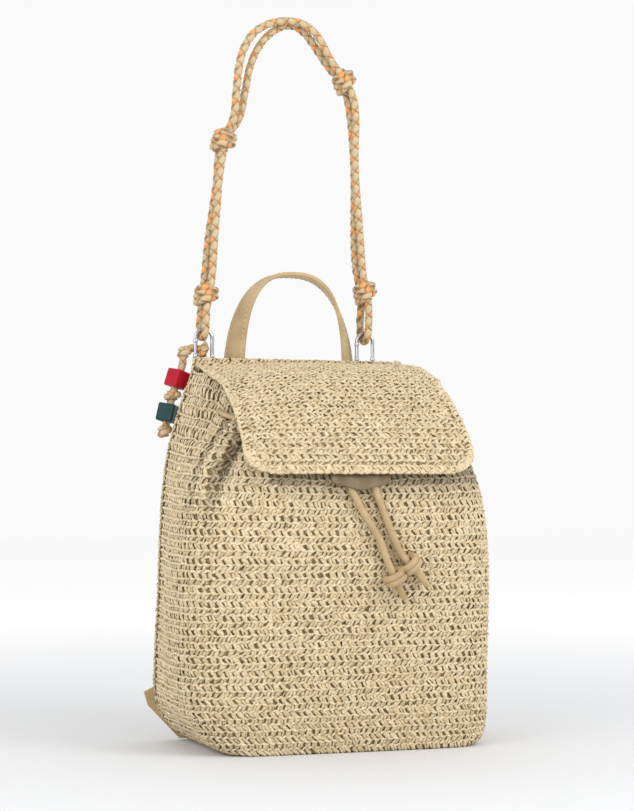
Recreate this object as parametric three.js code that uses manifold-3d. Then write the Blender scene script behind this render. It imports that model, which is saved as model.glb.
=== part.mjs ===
// Woven straw backpack: a hollow crocheted body with a gathered mouth, a flap over it, a leather
// top handle, two oval rings that carry a doubled braided cord, and a cord with two cube beads.
// Millimetres, +Z up, +X to the right as seen from the front, -Y the front of the bag.
// The shapes are worked out standing on z = 0; the outer group then puts the origin at the point
// where the raised cord strap hangs.
import * as THREE from 'three';
import { mergeVertices } from 'three/addons/utils/BufferGeometryUtils.js';
import { RoundedBoxGeometry } from 'three/addons/geometries/RoundedBoxGeometry.js';
import Module from 'manifold-3d';

// Driving dimensions
const bagHeight = 314;
const bagHalfWidth = 128.5;
const bagDepth = 141;
const backY = 57;
const strawWall = 3;
const gap = 0.3;

const baseThickness = 3;
const mouthSlope = 0.75;
const gatherStart = 0.6;
const gatherDepth = 10;
const gatherPower = 1.3;

const flapWall = 3;
const flapHalfWidth = 90;
const flapReach = 153;
const flapBackDrop = 5;
const flapDrop = 91;
const flapCorner = 19;
const flapColumns = 14;
const flapRows = 14;
const flapStraightRows = 0.7;
const flapSamples = 140;

const tabWidth = 47;
const tabLength = 27;
const tabWall = 2.4;
const tabCentreX = 3;
const tabShow = 12;
const tabBottomZ = bagHeight - flapBackDrop - flapDrop - tabShow;
const tabWave = 1.2;
const tabColumns = 8;
const tabRows = 5;
const tabSeat = 1.7;

const drawcordDiameter = 5.6;
const drawcordSteps = 13;
const drawKnotSize = 12;
const drawcordLift = 0.6;
const rimCordDiameter = 4;
const rimCordLift = 1.3;
const rimCordStart = 0.17;
const rimCordPlace = 0.93;
const rimCordPoints = 24;
const rimCordSteps = 30;

const handleWidth = 20;
const handleThickness = 3.2;
const handleHalfSpan = 51;
const handleCentreX = -3;
const handleApexZ = 386.5;
const handleSeat = 32;
const handleFootZ = bagHeight - handleSeat;
const handleSquareness = 2.6;
const handleFootLength = 18;
const handleLegTwist = 0.7;
const handlePinch = 8;
const handleSteps = 24;

const ringWidth = 17.4;
const ringHeight = 35;
const ringWire = 3.2;
const ringRise = 25.5;
const ringTopZ = bagHeight + ringRise;
const ringLeftRoom = 26.5;
const ringRightRoom = 13.5;
const ringLeftX = handleCentreX - handleHalfSpan - ringLeftRoom;
const ringRightX = handleCentreX + handleHalfSpan + ringRightRoom;
const ringTabWidth = 7;
const ringTabLeather = 2;
const ringTabLength = 30;
const ringLoopRoom = 1.3;

const cordDiameter = 6.6;
const knotWidth = 19;
const knotHeight = 18.5;
const knotRelief = 0.09;
const knotTurns = 2.6;
const knotPole = 0.9;
const drawKnotFlatness = 0.9;
const stopperWidth = 10.2;
const stopperHeight = 14;

const beadSize = 13.6;
const beadBore = 8.2;
const beadRounding = 0.12;
const charmKnotSize = 12.5;
const charmKnotWide = 14.5;
const charmKnotFlat = 10;

const patchWall = 2.4;
const shoulderWidth = 22;
const shoulderWall = 3;
const shoulderBow = 27;
const shoulderLeave = 0.05;
const shoulderLand = 0.93;
const shoulderEase = 0.65;
const shoulderTopX = 16;
const shoulderTopDrop = 22;
const shoulderTopZ = bagHeight - shoulderTopDrop;
const shoulderFootX = 108;
const shoulderFootZ = 34;
const shoulderSteps = 16;
const slideWidth = 30;
const slideHeight = 16;
const slideThickness = 1.8;
const slideRoom = 0.6;
const slidePlace = 0.74;

const hookX = 0;
const hookY = 66;
const hookZ = 598;

// Front drawcords: hand-chosen points from the tab down to the knot and the cut end
const drawcords = {
  drawcord_left: {
    route: [
      [-4, -88, 209.2], [-3.5, -88.5, 206], [3, -88.4, 193], [11, -88.1, 180], [20.5, -87.2, 165],
      [26.5, -86.3, 150],
    ],
    knot: [32, -87, 137.5],
    tail: [41.5, -83, 120.5],
  },
  drawcord_right: {
    route: [
      [15, -88, 209.2], [15.5, -88.5, 206], [23.5, -88.2, 186], [32, -87.2, 166.3], [38, -86.6, 155],
    ],
    knot: [44.5, -87.6, 147],
    tail: [61, -84, 130],
  },
};

// Knots and beads on the braided cord: centre, and lean about Y
const knots = {
  strap_knot_left_low: { centre: [-78.5, 66, 366.9], lean: 0.1, width: knotWidth, height: knotHeight },
  strap_knot_left_high: { centre: [-63.5, 66, 497.4], lean: 0.25, width: knotWidth, height: knotHeight },
  strap_knot_right_high: { centre: [43.5, 66, 554.4], lean: -0.4, width: knotWidth, height: knotHeight },
  strap_knot_right_low: { centre: [62, 66, 373.6], lean: -0.2, width: knotWidth, height: knotHeight },
  stopper_knot: { centre: [-81.3, 64, 320.4], lean: 0, width: stopperWidth, height: stopperHeight },
  charm_knot_top: { centre: [-95.1, 71.5, 319.2], lean: 0.2, width: charmKnotSize, height: charmKnotSize },
  charm_knot_middle: { centre: [-105.7, 71, 282.7], lean: 0.3, width: charmKnotWide, height: charmKnotFlat },
  charm_knot_end: { centre: [-112.1, 71, 253.2], lean: 0.1, width: charmKnotSize, height: charmKnotSize },
};

// Stretches of the braided cord: hand-chosen points, and the knots each one runs between
const cordRuns = {
  strap_loop_left: {
    steps: 18,
    between: ['strap_knot_left_low'],
    route: [
      [-77, 64, 366], [-79, 61.4, 357], [-80, 60.2, 347], [-80.3, 60.1, 339], [-80.9, 61.4, 333.6],
      [-81.3, 65.5, 331.3], [-81.8, 69.6, 333.6], [-82.2, 70.9, 339], [-82.2, 70.8, 347],
      [-81.4, 69.6, 357], [-80, 68, 366],
    ],
  },
  strap_loop_right: {
    steps: 18,
    between: ['strap_knot_right_low'],
    route: [
      [63.4, 64, 372], [63.7, 61.4, 362], [63.5, 60.2, 350], [63, 60.1, 340], [62, 61.4, 333.6],
      [61.3, 65.5, 331.3], [60.6, 69.6, 333.6], [59.7, 70.9, 340], [59.5, 70.8, 350],
      [60.2, 69.6, 362], [61, 68, 372],
    ],
  },
  strap_left_a: {
    steps: 10,
    between: ['strap_knot_left_low', 'strap_knot_left_high'],
    route: [
      [-80.6, 69.5, 367.2], [-78.1, 69.5, 388.3], [-75.1, 69.5, 417.8], [-71.3, 69.5, 443.3],
      [-68.3, 69.5, 464.5], [-67.1, 69.5, 483.2], [-64, 69.4, 497.4],
    ],
  },
  strap_left_b: {
    steps: 10,
    between: ['strap_knot_left_low', 'strap_knot_left_high'],
    route: [
      [-76.4, 62.5, 366.6], [-73.9, 62.5, 387.6], [-72.2, 62.5, 417], [-70.1, 62.5, 442.3],
      [-68.6, 62.5, 463.4], [-65.9, 62.5, 482.1], [-63, 62.6, 497],
    ],
  },
  strap_top_a: {
    steps: 18,
    between: ['strap_knot_left_high', 'strap_knot_right_high'],
    route: [
      [-64.5, 62.6, 497], [-56, 62.5, 516.5], [-53.4, 62.5, 540.3], [-51, 62.5, 561.7],
      [-46.5, 62.5, 577], [-38, 62.5, 590], [-26.5, 62.5, 597.8], [-12.1, 62.5, 602],
      [2.5, 62.5, 601.4], [13.5, 62.5, 595.9], [21.9, 62.5, 586], [28.5, 62.5, 574.1],
      [35.5, 62.5, 564], [43, 62.6, 554.4],
    ],
  },
  strap_top_b: {
    steps: 18,
    between: ['strap_knot_left_high', 'strap_knot_right_high'],
    route: [
      [-62, 69.4, 498], [-49, 69.5, 518.3], [-43.8, 69.5, 542.4], [-39.6, 69.5, 562.6],
      [-32.5, 69.5, 579], [-23, 69.5, 591], [-11.6, 69.5, 598.6], [-1.5, 69.5, 600],
      [7, 69.5, 596], [14.6, 69.5, 588.2], [22, 69.5, 578], [30.9, 69.5, 566.2],
      [42.5, 69.4, 554],
    ],
  },
  strap_right_a: {
    steps: 13,
    between: ['strap_knot_right_high', 'strap_knot_right_low'],
    route: [
      [44, 62.6, 554.3], [50.8, 62.5, 538.5], [52.8, 62.5, 521.2], [52, 62.5, 495.3],
      [52.6, 62.5, 469.5], [55.4, 62.5, 435.2], [57.3, 62.5, 409.5], [58.9, 62.5, 390.6],
      [61.8, 62.6, 373.5],
    ],
  },
  strap_right_b: {
    steps: 13,
    between: ['strap_knot_right_high', 'strap_knot_right_low'],
    route: [
      [42.5, 69.4, 553.5], [47.6, 69.5, 539.6], [50.4, 69.5, 522.4], [52.8, 69.5, 496.6],
      [53.8, 69.5, 470.6], [53.6, 69.5, 436], [53.9, 69.5, 410.2], [55.6, 69.5, 391.2],
      [59.8, 69.4, 374.2],
    ],
  },
  charm_cord_top: {
    steps: 6,
    between: ['stopper_knot', 'charm_knot_top'],
    route: [[-81.3, 67, 320.6], [-84.5, 71, 322], [-89.5, 72.3, 322.5], [-95.1, 71.5, 319.2]],
  },
  charm_cord_middle: {
    steps: 6,
    between: ['charm_knot_top', 'charm_knot_middle'],
    route: [[-95.1, 71.5, 319.2], [-97.6, 71, 307.6], [-101.6, 71, 296], [-105.7, 71, 282.7]],
  },
  charm_cord_low: {
    steps: 5,
    between: ['charm_knot_middle', 'charm_knot_end'],
    route: [[-105.7, 71, 282.7], [-109.4, 71, 268.2], [-112.1, 71, 253.2]],
  },
};

// Colours
const straw = { color: 0xcbb88f, roughness: 0.85, metalness: 0 };
const leather = { color: 0xb59a6c, roughness: 0.55, metalness: 0 };
const cordColour = { color: 0xc2a070, roughness: 0.7, metalness: 0 };
const metal = { color: 0xd8d8da, roughness: 0.12, metalness: 1 };
const redGloss = { color: 0xb01030, roughness: 0.2, metalness: 0 };
const tealGloss = { color: 0x1f5a5c, roughness: 0.2, metalness: 0 };

// Cube beads drilled along the cord: centre, direction of the cord, and turn about it
const beads = {
  red_cube: { centre: [-101.4, 71, 296.4], along: [7.6, 0, 24.8], turn: 0.5, look: redGloss },
  teal_cube: { centre: [-109.4, 71, 268], along: [6.4, 0, 29.5], turn: 0.95, look: tealGloss },
};

const wasm = await Module();
wasm.setup();

const root = new THREE.Group();
const bag = new THREE.Group();
bag.position.set(-hookX, -hookY, -hookZ);
root.add(bag);

function addPart(name, geometry, look) {
  const mesh = new THREE.Mesh(geometry, new THREE.MeshStandardMaterial(look));
  mesh.name = name;
  bag.add(mesh);
  return mesh;
}

// Closed-solid helpers
function positionsOnly(geometry) {
  const bare = geometry.clone();
  bare.deleteAttribute('normal');
  bare.deleteAttribute('uv');
  return mergeVertices(bare, 1e-4);
}

function toSolid(geometry) {
  const merged = positionsOnly(geometry);
  return new wasm.Manifold(new wasm.Mesh({
    numProp: 3,
    vertProperties: new Float32Array(merged.attributes.position.array),
    triVerts: new Uint32Array(merged.index.array),
  }));
}

function fromSolid(solid) {
  const mesh = solid.getMesh();
  const geometry = new THREE.BufferGeometry();
  const points = new Float32Array(mesh.vertProperties);
  geometry.setAttribute('position', new THREE.BufferAttribute(points, 3));
  geometry.setIndex(new THREE.BufferAttribute(new Uint32Array(mesh.triVerts), 1));
  geometry.computeVertexNormals();
  return geometry;
}

function cutAway(geometry, ...tools) {
  let solid = toSolid(geometry);
  for (const tool of tools) solid = solid.subtract(toSolid(tool));
  return fromSolid(solid);
}

function meshFrom(points, faces) {
  const geometry = new THREE.BufferGeometry();
  const flat = new Float32Array(points.flatMap((p) => [p.x, p.y, p.z]));
  geometry.setAttribute('position', new THREE.BufferAttribute(flat, 3));
  let volume = 0;
  for (const [a, b, c] of faces) {
    volume += points[a].dot(new THREE.Vector3().crossVectors(points[b], points[c]));
  }
  const ordered = volume < 0 ? faces.map(([a, b, c]) => [a, c, b]) : faces;
  geometry.setIndex(ordered.flat());
  geometry.computeVertexNormals();
  return geometry;
}

// A wall of even thickness behind a surface point(u, v), u and v from 0 to 1; no point of the
// wall goes behind the plane y = limitY
function shell(columns, rows, point, wall, limitY = Infinity) {
  const outer = [];
  const at = (i, j) => i * (rows + 1) + j;
  for (let i = 0; i <= columns; i += 1) {
    for (let j = 0; j <= rows; j += 1) outer.push(point(i / columns, j / rows));
  }
  const inner = outer.map((p, k) => {
    const i = Math.floor(k / (rows + 1));
    const j = k % (rows + 1);
    const across = outer[at(Math.min(i + 1, columns), j)].clone()
      .sub(outer[at(Math.max(i - 1, 0), j)]);
    const along = outer[at(i, Math.min(j + 1, rows))].clone()
      .sub(outer[at(i, Math.max(j - 1, 0))]);
    const behind = p.clone().addScaledVector(across.cross(along).normalize(), -wall);
    behind.y = Math.min(behind.y, limitY);
    return behind;
  });
  const count = outer.length;
  const faces = [];
  const quad = (a, b, c, d) => faces.push([a, b, c], [a, c, d]);
  for (let i = 0; i < columns; i += 1) {
    for (let j = 0; j < rows; j += 1) {
      const [a, b, c, d] = [at(i, j), at(i + 1, j), at(i + 1, j + 1), at(i, j + 1)];
      quad(a, b, c, d);
      faces.push([count + a, count + c, count + b], [count + a, count + d, count + c]);
    }
  }
  for (let i = 0; i < columns; i += 1) {
    quad(at(i + 1, 0), at(i, 0), count + at(i, 0), count + at(i + 1, 0));
    quad(at(i, rows), at(i + 1, rows), count + at(i + 1, rows), count + at(i, rows));
  }
  for (let j = 0; j < rows; j += 1) {
    quad(at(0, j), at(0, j + 1), count + at(0, j + 1), count + at(0, j));
    quad(at(columns, j + 1), at(columns, j), count + at(columns, j), count + at(columns, j + 1));
  }
  return meshFrom([...outer, ...inner], faces);
}

function tube(points, diameter, steps, sides = 8) {
  const section = new THREE.Shape();
  for (let k = 0; k < sides; k += 1) {
    const angle = (2 * Math.PI * k) / sides;
    const x = Math.cos(angle) * diameter / 2;
    const y = Math.sin(angle) * diameter / 2;
    if (k === 0) section.moveTo(x, y);
    else section.lineTo(x, y);
  }
  section.closePath();
  const path = new THREE.CatmullRomCurve3(points.map((p) => new THREE.Vector3(...p)));
  return new THREE.ExtrudeGeometry(section, { steps, extrudePath: path, bevelEnabled: false });
}

// A band of flat section swept through frames of { centre, across, normal }
function band(frames, width, thickness) {
  const points = [];
  for (const { centre, across, normal } of frames) {
    for (const [w, t] of [[-1, -1], [1, -1], [1, 1], [-1, 1]]) {
      points.push(centre.clone()
        .addScaledVector(across, w * width / 2)
        .addScaledVector(normal, t * thickness / 2));
    }
  }
  const faces = [[0, 1, 2], [0, 2, 3]];
  for (let k = 0; k + 1 < frames.length; k += 1) {
    for (let side = 0; side < 4; side += 1) {
      const a = 4 * k + side;
      const b = 4 * k + ((side + 1) % 4);
      faces.push([a, a + 4, b + 4], [a, b + 4, b]);
    }
  }
  const last = points.length - 4;
  faces.push([last, last + 2, last + 1], [last, last + 3, last + 2]);
  return meshFrom(points, faces);
}

// Rows of numbers as a list of records with the columns' names
function table(columns, rows) {
  return rows.map((row) => Object.fromEntries(columns.map((name, n) => [name, row[n]])));
}

// Value of a table's column at a place k between its rows, on a smooth curve
function blendColumn(rows, column, k) {
  const last = rows.length - 1;
  const i = Math.min(Math.floor(k), last - 1);
  const t = k - i;
  const value = (n) => rows[Math.min(Math.max(n, 0), last)][column];
  const [a, b, c, d] = [value(i - 1), value(i), value(i + 1), value(i + 2)];
  const cubic = 2 * b + (c - a) * t + (2 * a - 5 * b + 4 * c - d) * t * t
    + (3 * b - a - 3 * c + d) * t * t * t;
  return cubic / 2;
}

// Body sections, bottom to mouth. rise and frontRise are shares of bagHeight at the back edge and
// at the front; left, right, seamLeft and seamRight are shares of bagHalfWidth, at the widest
// place and at the back seams; depth is a share of bagDepth; square is the corner's squareness.
const bodySections = table(
  ['rise', 'frontRise', 'left', 'right', 'seamLeft', 'seamRight', 'depth', 'square'],
  [
    [0, 0, 0.7, 0.92, 0.72, 0.91, 0.81, 7],
    [0.025, 0.025, 0.79, 0.975, 0.81, 0.94, 0.83, 6],
    [0.064, 0.064, 0.88, 0.995, 0.9, 0.957, 0.85, 5.5],
    [0.12, 0.12, 0.965, 1, 0.95, 0.96, 0.872, 5],
    [0.223, 0.223, 0.996, 1, 0.95, 0.95, 0.9, 4.5],
    [0.35, 0.35, 1, 1, 0.935, 0.935, 0.943, 4.2],
    [0.478, 0.471, 0.996, 0.99, 0.926, 0.926, 0.979, 4],
    [0.589, 0.573, 0.975, 0.965, 0.914, 0.914, 1, 3.8],
    [0.685, 0.656, 0.926, 0.922, 0.895, 0.895, 1.004, 3.6],
    [0.764, 0.713, 0.848, 0.856, 0.864, 0.864, 0.986, 3.3],
    [0.834, 0.752, 0.739, 0.755, 0.817, 0.817, 0.93, 3],
    [0.898, 0.777, 0.654, 0.67, 0.77, 0.77, 0.86, 2.7],
    [0.96, 0.79, 0.6, 0.61, 0.715, 0.715, 0.79, 2.4],
  ],
);

// Folds that the mouth's drawcord gathers: place along the wall from back left (0) to back right
// (1), depth at the rim as a share of gatherDepth, and width as a share of the wall's length
const gathers = table(
  ['place', 'depth', 'width'],
  [
    [0.15, 0.5, 0.035],
    [0.262, 1, 0.02],
    [0.34, 0.6, 0.017],
    [0.42, 0.6, 0.017],
    [0.5, 0.5, 0.017],
    [0.58, 0.6, 0.017],
    [0.66, 0.6, 0.017],
    [0.738, 0.8, 0.02],
    [0.85, 0.5, 0.035],
  ],
);

const sectionSamples = 96;
const cornerShare = 0.42;
const wrapColumns = 56;
const wrapRows = 13;
const panelSteps = 16;
const seamLip = 1.5;
const seamTaper = 0.02;
const baseSteps = 30;

// One section of the body as a line of points from the back left seam round to the back right
function bodyOutline(k) {
  const get = (column) => blendColumn(bodySections, column, k);
  const front = backY - get('depth') * bagDepth;
  const cornerY = front + cornerShare * (backY - front);
  const square = get('square');
  const points = [];
  const half = (side, seam) => {
    const line = [];
    for (let n = 0; n <= sectionSamples / 4; n += 1) {
      const t = n / (sectionSamples / 4);
      const ease = t * t * (3 - 2 * t);
      const y = backY - gap + (cornerY - backY + gap) * t;
      line.push(new THREE.Vector2(seam + (side - seam) * ease, y));
    }
    for (let n = 1; n <= sectionSamples; n += 1) {
      const angle = (Math.PI / 2) * (n / sectionSamples);
      const x = side * Math.cos(angle) ** (2 / square);
      const y = cornerY + (front - cornerY) * Math.sin(angle) ** (2 / square);
      line.push(new THREE.Vector2(x, y));
    }
    return line;
  };
  const left = half(-get('left') * bagHalfWidth, -get('seamLeft') * bagHalfWidth);
  const right = half(get('right') * bagHalfWidth, get('seamRight') * bagHalfWidth);
  points.push(...left, ...right.reverse().slice(1));
  return points;
}

function alongLine(points, share) {
  const lengths = [0];
  for (let n = 1; n < points.length; n += 1) {
    lengths.push(lengths[n - 1] + points[n].distanceTo(points[n - 1]));
  }
  const target = share * lengths[lengths.length - 1];
  let n = 1;
  while (n < points.length - 1 && lengths[n] < target) n += 1;
  const t = (target - lengths[n - 1]) / (lengths[n] - lengths[n - 1]);
  const tangent = points[n].clone().sub(points[n - 1]).normalize();
  return { point: points[n - 1].clone().lerp(points[n], t), tangent };
}

const outlineCache = new Map();

function bodyPoint(u, v, folded = true) {
  const k = v * (bodySections.length - 1);
  if (!outlineCache.has(k)) outlineCache.set(k, bodyOutline(k));
  const { point, tangent } = alongLine(outlineCache.get(k), u);
  const pull = Math.max(0, (v - gatherStart) / (1 - gatherStart)) ** gatherPower;
  let dent = 0;
  for (const { place, depth, width } of folded ? gathers : []) {
    dent += depth * gatherDepth * pull * Math.exp(-(((u - place) / width) ** 2));
  }
  const side = (1 - Math.abs(2 * u - 1)) ** mouthSlope;
  const rise = blendColumn(bodySections, 'rise', k);
  const frontRise = blendColumn(bodySections, 'frontRise', k);
  const z = bagHeight * (rise + (frontRise - rise) * side);
  return new THREE.Vector3(point.x - tangent.y * dent, point.y + tangent.x * dent, z);
}

// Half width of the back panel at a height z: the body's seams, closing to the top strip
function seamHalfWidth(column, z) {
  let k = 0;
  const last = bodySections.length - 1;
  while (k < last - 1 && bodySections[k + 1].rise * bagHeight < z) k += 1;
  const low = bodySections[k].rise * bagHeight;
  const high = bodySections[k + 1].rise * bagHeight;
  const place = k + Math.max(0, (z - low) / (high - low));
  const beyond = Math.max(0, place - last);
  return bagHalfWidth * (blendColumn(bodySections, column, Math.min(place, last)) - seamTaper * beyond);
}

function plate(outline, thickness) {
  return new THREE.ExtrudeGeometry(new THREE.Shape(outline), { depth: thickness, bevelEnabled: false });
}

// A plate drawn in X and Z, with its front at y
function uprightPlate(outline, y, thickness) {
  const geometry = plate(outline, thickness);
  geometry.rotateX(Math.PI / 2);
  geometry.translate(0, y + thickness, 0);
  return geometry;
}

function buildBody() {
  addPart('body_wrap', shell(wrapColumns, wrapRows, bodyPoint, strawWall, backY - gap), straw);

  const left = [];
  const right = [];
  for (let n = 0; n <= panelSteps; n += 1) {
    const z = (bagHeight * n) / panelSteps;
    left.push(new THREE.Vector2(-seamHalfWidth('seamLeft', z) - seamLip, z));
    right.unshift(new THREE.Vector2(seamHalfWidth('seamRight', z) + seamLip, z));
  }
  addPart('back_panel', uprightPlate([...left, ...right], backY, strawWall), straw);

  const footprint = bodyOutline(0);
  const inset = strawWall + gap;
  const outline = [];
  for (let n = 0; n <= baseSteps; n += 1) {
    const { point, tangent } = alongLine(footprint, n / baseSteps);
    outline.push(new THREE.Vector2(point.x - tangent.y * inset, point.y + tangent.x * inset));
  }
  addPart('base_panel', plate(outline, baseThickness), straw);
}

// Flap sections, back to front edge. reach and fall are shares of flapReach and flapDrop, left
// and right are shares of flapHalfWidth, droop is the left edge's sag as a share of flapDrop.
const flapSections = table(
  ['reach', 'fall', 'left', 'right', 'droop'],
  [
    [0, 0, 0.975, 0.975, 0.01],
    [0.2, -0.004, 0.975, 0.985, 0.115],
    [0.42, 0.065, 0.975, 1, 0.13],
    [0.58, 0.185, 0.98, 1.02, 0.12],
    [0.737, 0.385, 0.985, 1.05, 0.08],
    [0.87, 0.605, 0.99, 1.075, 0.045],
    [0.96, 0.815, 1, 1.085, 0.01],
    [1, 1, 1, 1.085, 0],
  ],
);

function flapProfile(k) {
  const reach = blendColumn(flapSections, 'reach', k) * flapReach;
  const fall = blendColumn(flapSections, 'fall', k) * flapDrop;
  return new THREE.Vector2(backY - gap - reach, bagHeight - flapBackDrop - fall);
}

// Places k along the flap's profile at even steps, with its length up to each
function flapLengths() {
  const last = flapSections.length - 1;
  const table = [{ k: 0, length: 0 }];
  let before = flapProfile(0);
  for (let n = 1; n <= flapSamples; n += 1) {
    const k = (last * n) / flapSamples;
    const here = flapProfile(k);
    table.push({ k, length: table[n - 1].length + here.distanceTo(before) });
    before = here;
  }
  return table;
}

const flapTable = flapLengths();
const flapLength = flapTable[flapSamples].length;

function flapPoint(u, v) {
  const straight = flapLength - flapCorner;
  const angle = (Math.PI / 2) * Math.max(0, (v - flapStraightRows) / (1 - flapStraightRows));
  const length = v < flapStraightRows
    ? straight * (v / flapStraightRows)
    : straight + flapCorner * Math.sin(angle);
  const narrowing = flapCorner * (1 - Math.cos(angle));
  let n = 1;
  while (n < flapSamples && flapTable[n].length < length) n += 1;
  const step = flapTable[n].length - flapTable[n - 1].length;
  const t = Math.min(1, (length - flapTable[n - 1].length) / step);
  const k = flapTable[n - 1].k + t * (flapTable[n].k - flapTable[n - 1].k);
  const { x: y, y: z } = flapProfile(k);
  const left = blendColumn(flapSections, 'left', k) * flapHalfWidth - narrowing;
  const right = blendColumn(flapSections, 'right', k) * flapHalfWidth - narrowing;
  const x = right - (left + right) * u;
  const sag = x < 0 ? blendColumn(flapSections, 'droop', k) * flapDrop * (-x / left) ** 2.4 : 0;
  return new THREE.Vector3(x, y, z - sag);
}

function buildFlap() {
  addPart('flap', shell(flapColumns, flapRows, flapPoint, flapWall, backY - gap), straw);
}

// Y of the body's front at the middle, at height z
function frontY(z) {
  const last = bodySections.length - 1;
  let k = 0;
  while (k < last && blendColumn(bodySections, 'frontRise', k) * bagHeight < z) k += 0.01;
  return backY - blendColumn(bodySections, 'depth', Math.min(k, last)) * bagDepth;
}

function buildClosure() {
  const bulge = drawcordDiameter + drawcordLift + 2 * gap + tabWall;
  const tabPoint = (u, v) => {
    const z = tabBottomZ + tabLength * v;
    const out = bulge + (tabSeat * tabWall - bulge) * v ** 1.5;
    const wave = tabWave * Math.sin(3 * Math.PI * u) * (1 - v);
    return new THREE.Vector3(tabCentreX + tabWidth * (u - 0.5), frontY(z) - out, z + wave);
  };
  addPart('front_tab', shell(tabColumns, tabRows, tabPoint, tabWall), leather);

  for (const [name, { route, knot, tail }] of Object.entries(drawcords)) {
    const cord = tube([...route, knot, tail], drawcordDiameter, drawcordSteps);
    const ball = knotBall(drawKnotSize, drawKnotSize * drawKnotFlatness);
    ball.rotateY(Math.atan2(tail[0] - knot[0], knot[2] - tail[2]));
    ball.translate(...knot);
    addPart(name, fromSolid(toSolid(cord).add(toSolid(ball))), leather);
  }

  const line = [];
  for (let n = 0; n <= rimCordPoints; n += 1) {
    const u = rimCordStart + (1 - 2 * rimCordStart) * (n / rimCordPoints);
    const here = bodyPoint(u, rimCordPlace, false);
    const ahead = bodyPoint(u + 0.01, rimCordPlace, false).sub(here);
    const out = new THREE.Vector3(ahead.y, -ahead.x, 0).normalize();
    line.push(here.addScaledVector(out, rimCordDiameter / 2 + rimCordLift).toArray());
  }
  addPart('rim_drawcord', tube(line, rimCordDiameter, rimCordSteps), leather);
}

// A knot as one lump: a ball whose surface rises and falls as turns of cord, axis along Z
function knotBall(width, height) {
  const ball = new THREE.SphereGeometry(1, 12, 9);
  const place = ball.attributes.position;
  const p = new THREE.Vector3();
  for (let n = 0; n < place.count; n += 1) {
    p.fromBufferAttribute(place, n);
    const around = Math.atan2(p.y, p.x);
    const lobe = 1 + knotRelief * Math.cos(knotTurns * Math.PI * p.z + around);
    const pole = Math.max(Math.abs(p.z) - knotPole, 0) / (1 - knotPole);
    const swell = lobe * (1 - pole) + pole;
    place.setXYZ(n, p.x * swell * width / 2, p.y * swell * width / 2, p.z * height / 2);
  }
  return ball;
}

function handleTwist(z) {
  const leave = handleFootZ + handleFootLength;
  if (z <= leave) return Math.PI / 2;
  if (z <= bagHeight) {
    const t = (z - leave) / (bagHeight - leave);
    return Math.PI / 2 + (handleLegTwist - Math.PI / 2) * t;
  }
  const t = Math.min(1, (z - bagHeight) / (handleApexZ - bagHeight));
  return handleLegTwist * (1 - t ** 1.3);
}

function buildHandle() {
  const rear = backY + strawWall + gap;
  const frames = [];
  const centreY = (z) => {
    const twist = Math.max(handleTwist(z), handleLegTwist);
    return rear + Math.cos(twist) * handleWidth / 2 + Math.sin(twist) * handleThickness / 2;
  };
  const rise = handleApexZ - handleFootZ;
  const spot = (turn) => {
    const power = 2 / handleSquareness;
    const side = -Math.sign(Math.cos(turn)) * Math.abs(Math.cos(turn)) ** power;
    const z = handleFootZ + rise * Math.sin(turn) ** power;
    const pinch = handlePinch * Math.max(0, 1 - (z - handleFootZ) / (bagHeight - handleFootZ));
    return new THREE.Vector3(handleCentreX + side * (handleHalfSpan - pinch), centreY(z), z);
  };
  for (let n = 0; n <= handleSteps; n += 1) {
    const turn = (Math.PI * n) / handleSteps;
    const centre = spot(turn);
    const tangent = spot(Math.min(turn + 0.02, Math.PI)).sub(spot(Math.max(turn - 0.02, 0)));
    tangent.y = 0;
    tangent.normalize();
    const outward = new THREE.Vector3(-tangent.z, 0, tangent.x);
    const twist = handleTwist(centre.z);
    const normal = outward.multiplyScalar(Math.cos(twist)).add(new THREE.Vector3(0, -Math.sin(twist), 0));
    const across = new THREE.Vector3().crossVectors(tangent, normal);
    frames.push({ centre, across, normal });
  }
  addPart('top_handle', band(frames, handleWidth, handleThickness), leather);
}

const ringLoopOuter = ringWire / 2 + ringLoopRoom + ringTabLeather;
const ringY = backY + strawWall + gap + ringLoopOuter;
const ringFootZ = ringTopZ - ringHeight + ringWire / 2;

function buildRing(side, x) {
  const radius = (ringWidth - ringWire) / 2;
  const oval = new THREE.TorusGeometry(radius, ringWire / 2, 8, 20);
  const stretch = (ringHeight - ringWidth) / 2;
  const place = oval.attributes.position;
  for (let n = 0; n < place.count; n += 1) {
    place.setY(n, place.getY(n) + Math.sign(Math.round(place.getY(n) * 1e4)) * stretch);
  }
  oval.rotateX(Math.PI / 2);
  oval.translate(x, ringY, ringTopZ - ringHeight / 2);
  addPart(`ring_${side}`, oval, metal);

  const profile = new THREE.Shape();
  profile.absarc(0, 0, ringLoopOuter, -Math.PI / 2, Math.PI, false);
  profile.lineTo(-ringLoopOuter, -ringTabLength);
  profile.lineTo(-ringLoopOuter + 2 * ringTabLeather, -ringTabLength);
  profile.lineTo(-ringLoopOuter + 2 * ringTabLeather, -ringLoopOuter);
  const hole = new THREE.Path();
  hole.absarc(0, 0, ringLoopOuter - ringTabLeather, 0, 2 * Math.PI, true);
  profile.holes.push(hole);
  const tab = new THREE.ExtrudeGeometry(profile, {
    depth: ringTabWidth, bevelEnabled: false, curveSegments: 6,
  });
  tab.rotateY(Math.PI / 2);
  tab.rotateX(Math.PI / 2);
  tab.translate(x - ringTabWidth / 2, ringY, ringFootZ);
  addPart(`ring_tab_${side}`, tab, leather);
}

function strapKnots(grow) {
  return Object.entries(knots).map(([name, { centre, lean, width, height }]) => {
    const ball = knotBall(width + 2 * grow, height + 2 * grow);
    ball.rotateY(lean);
    ball.translate(...centre);
    return { name, ball };
  });
}

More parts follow.
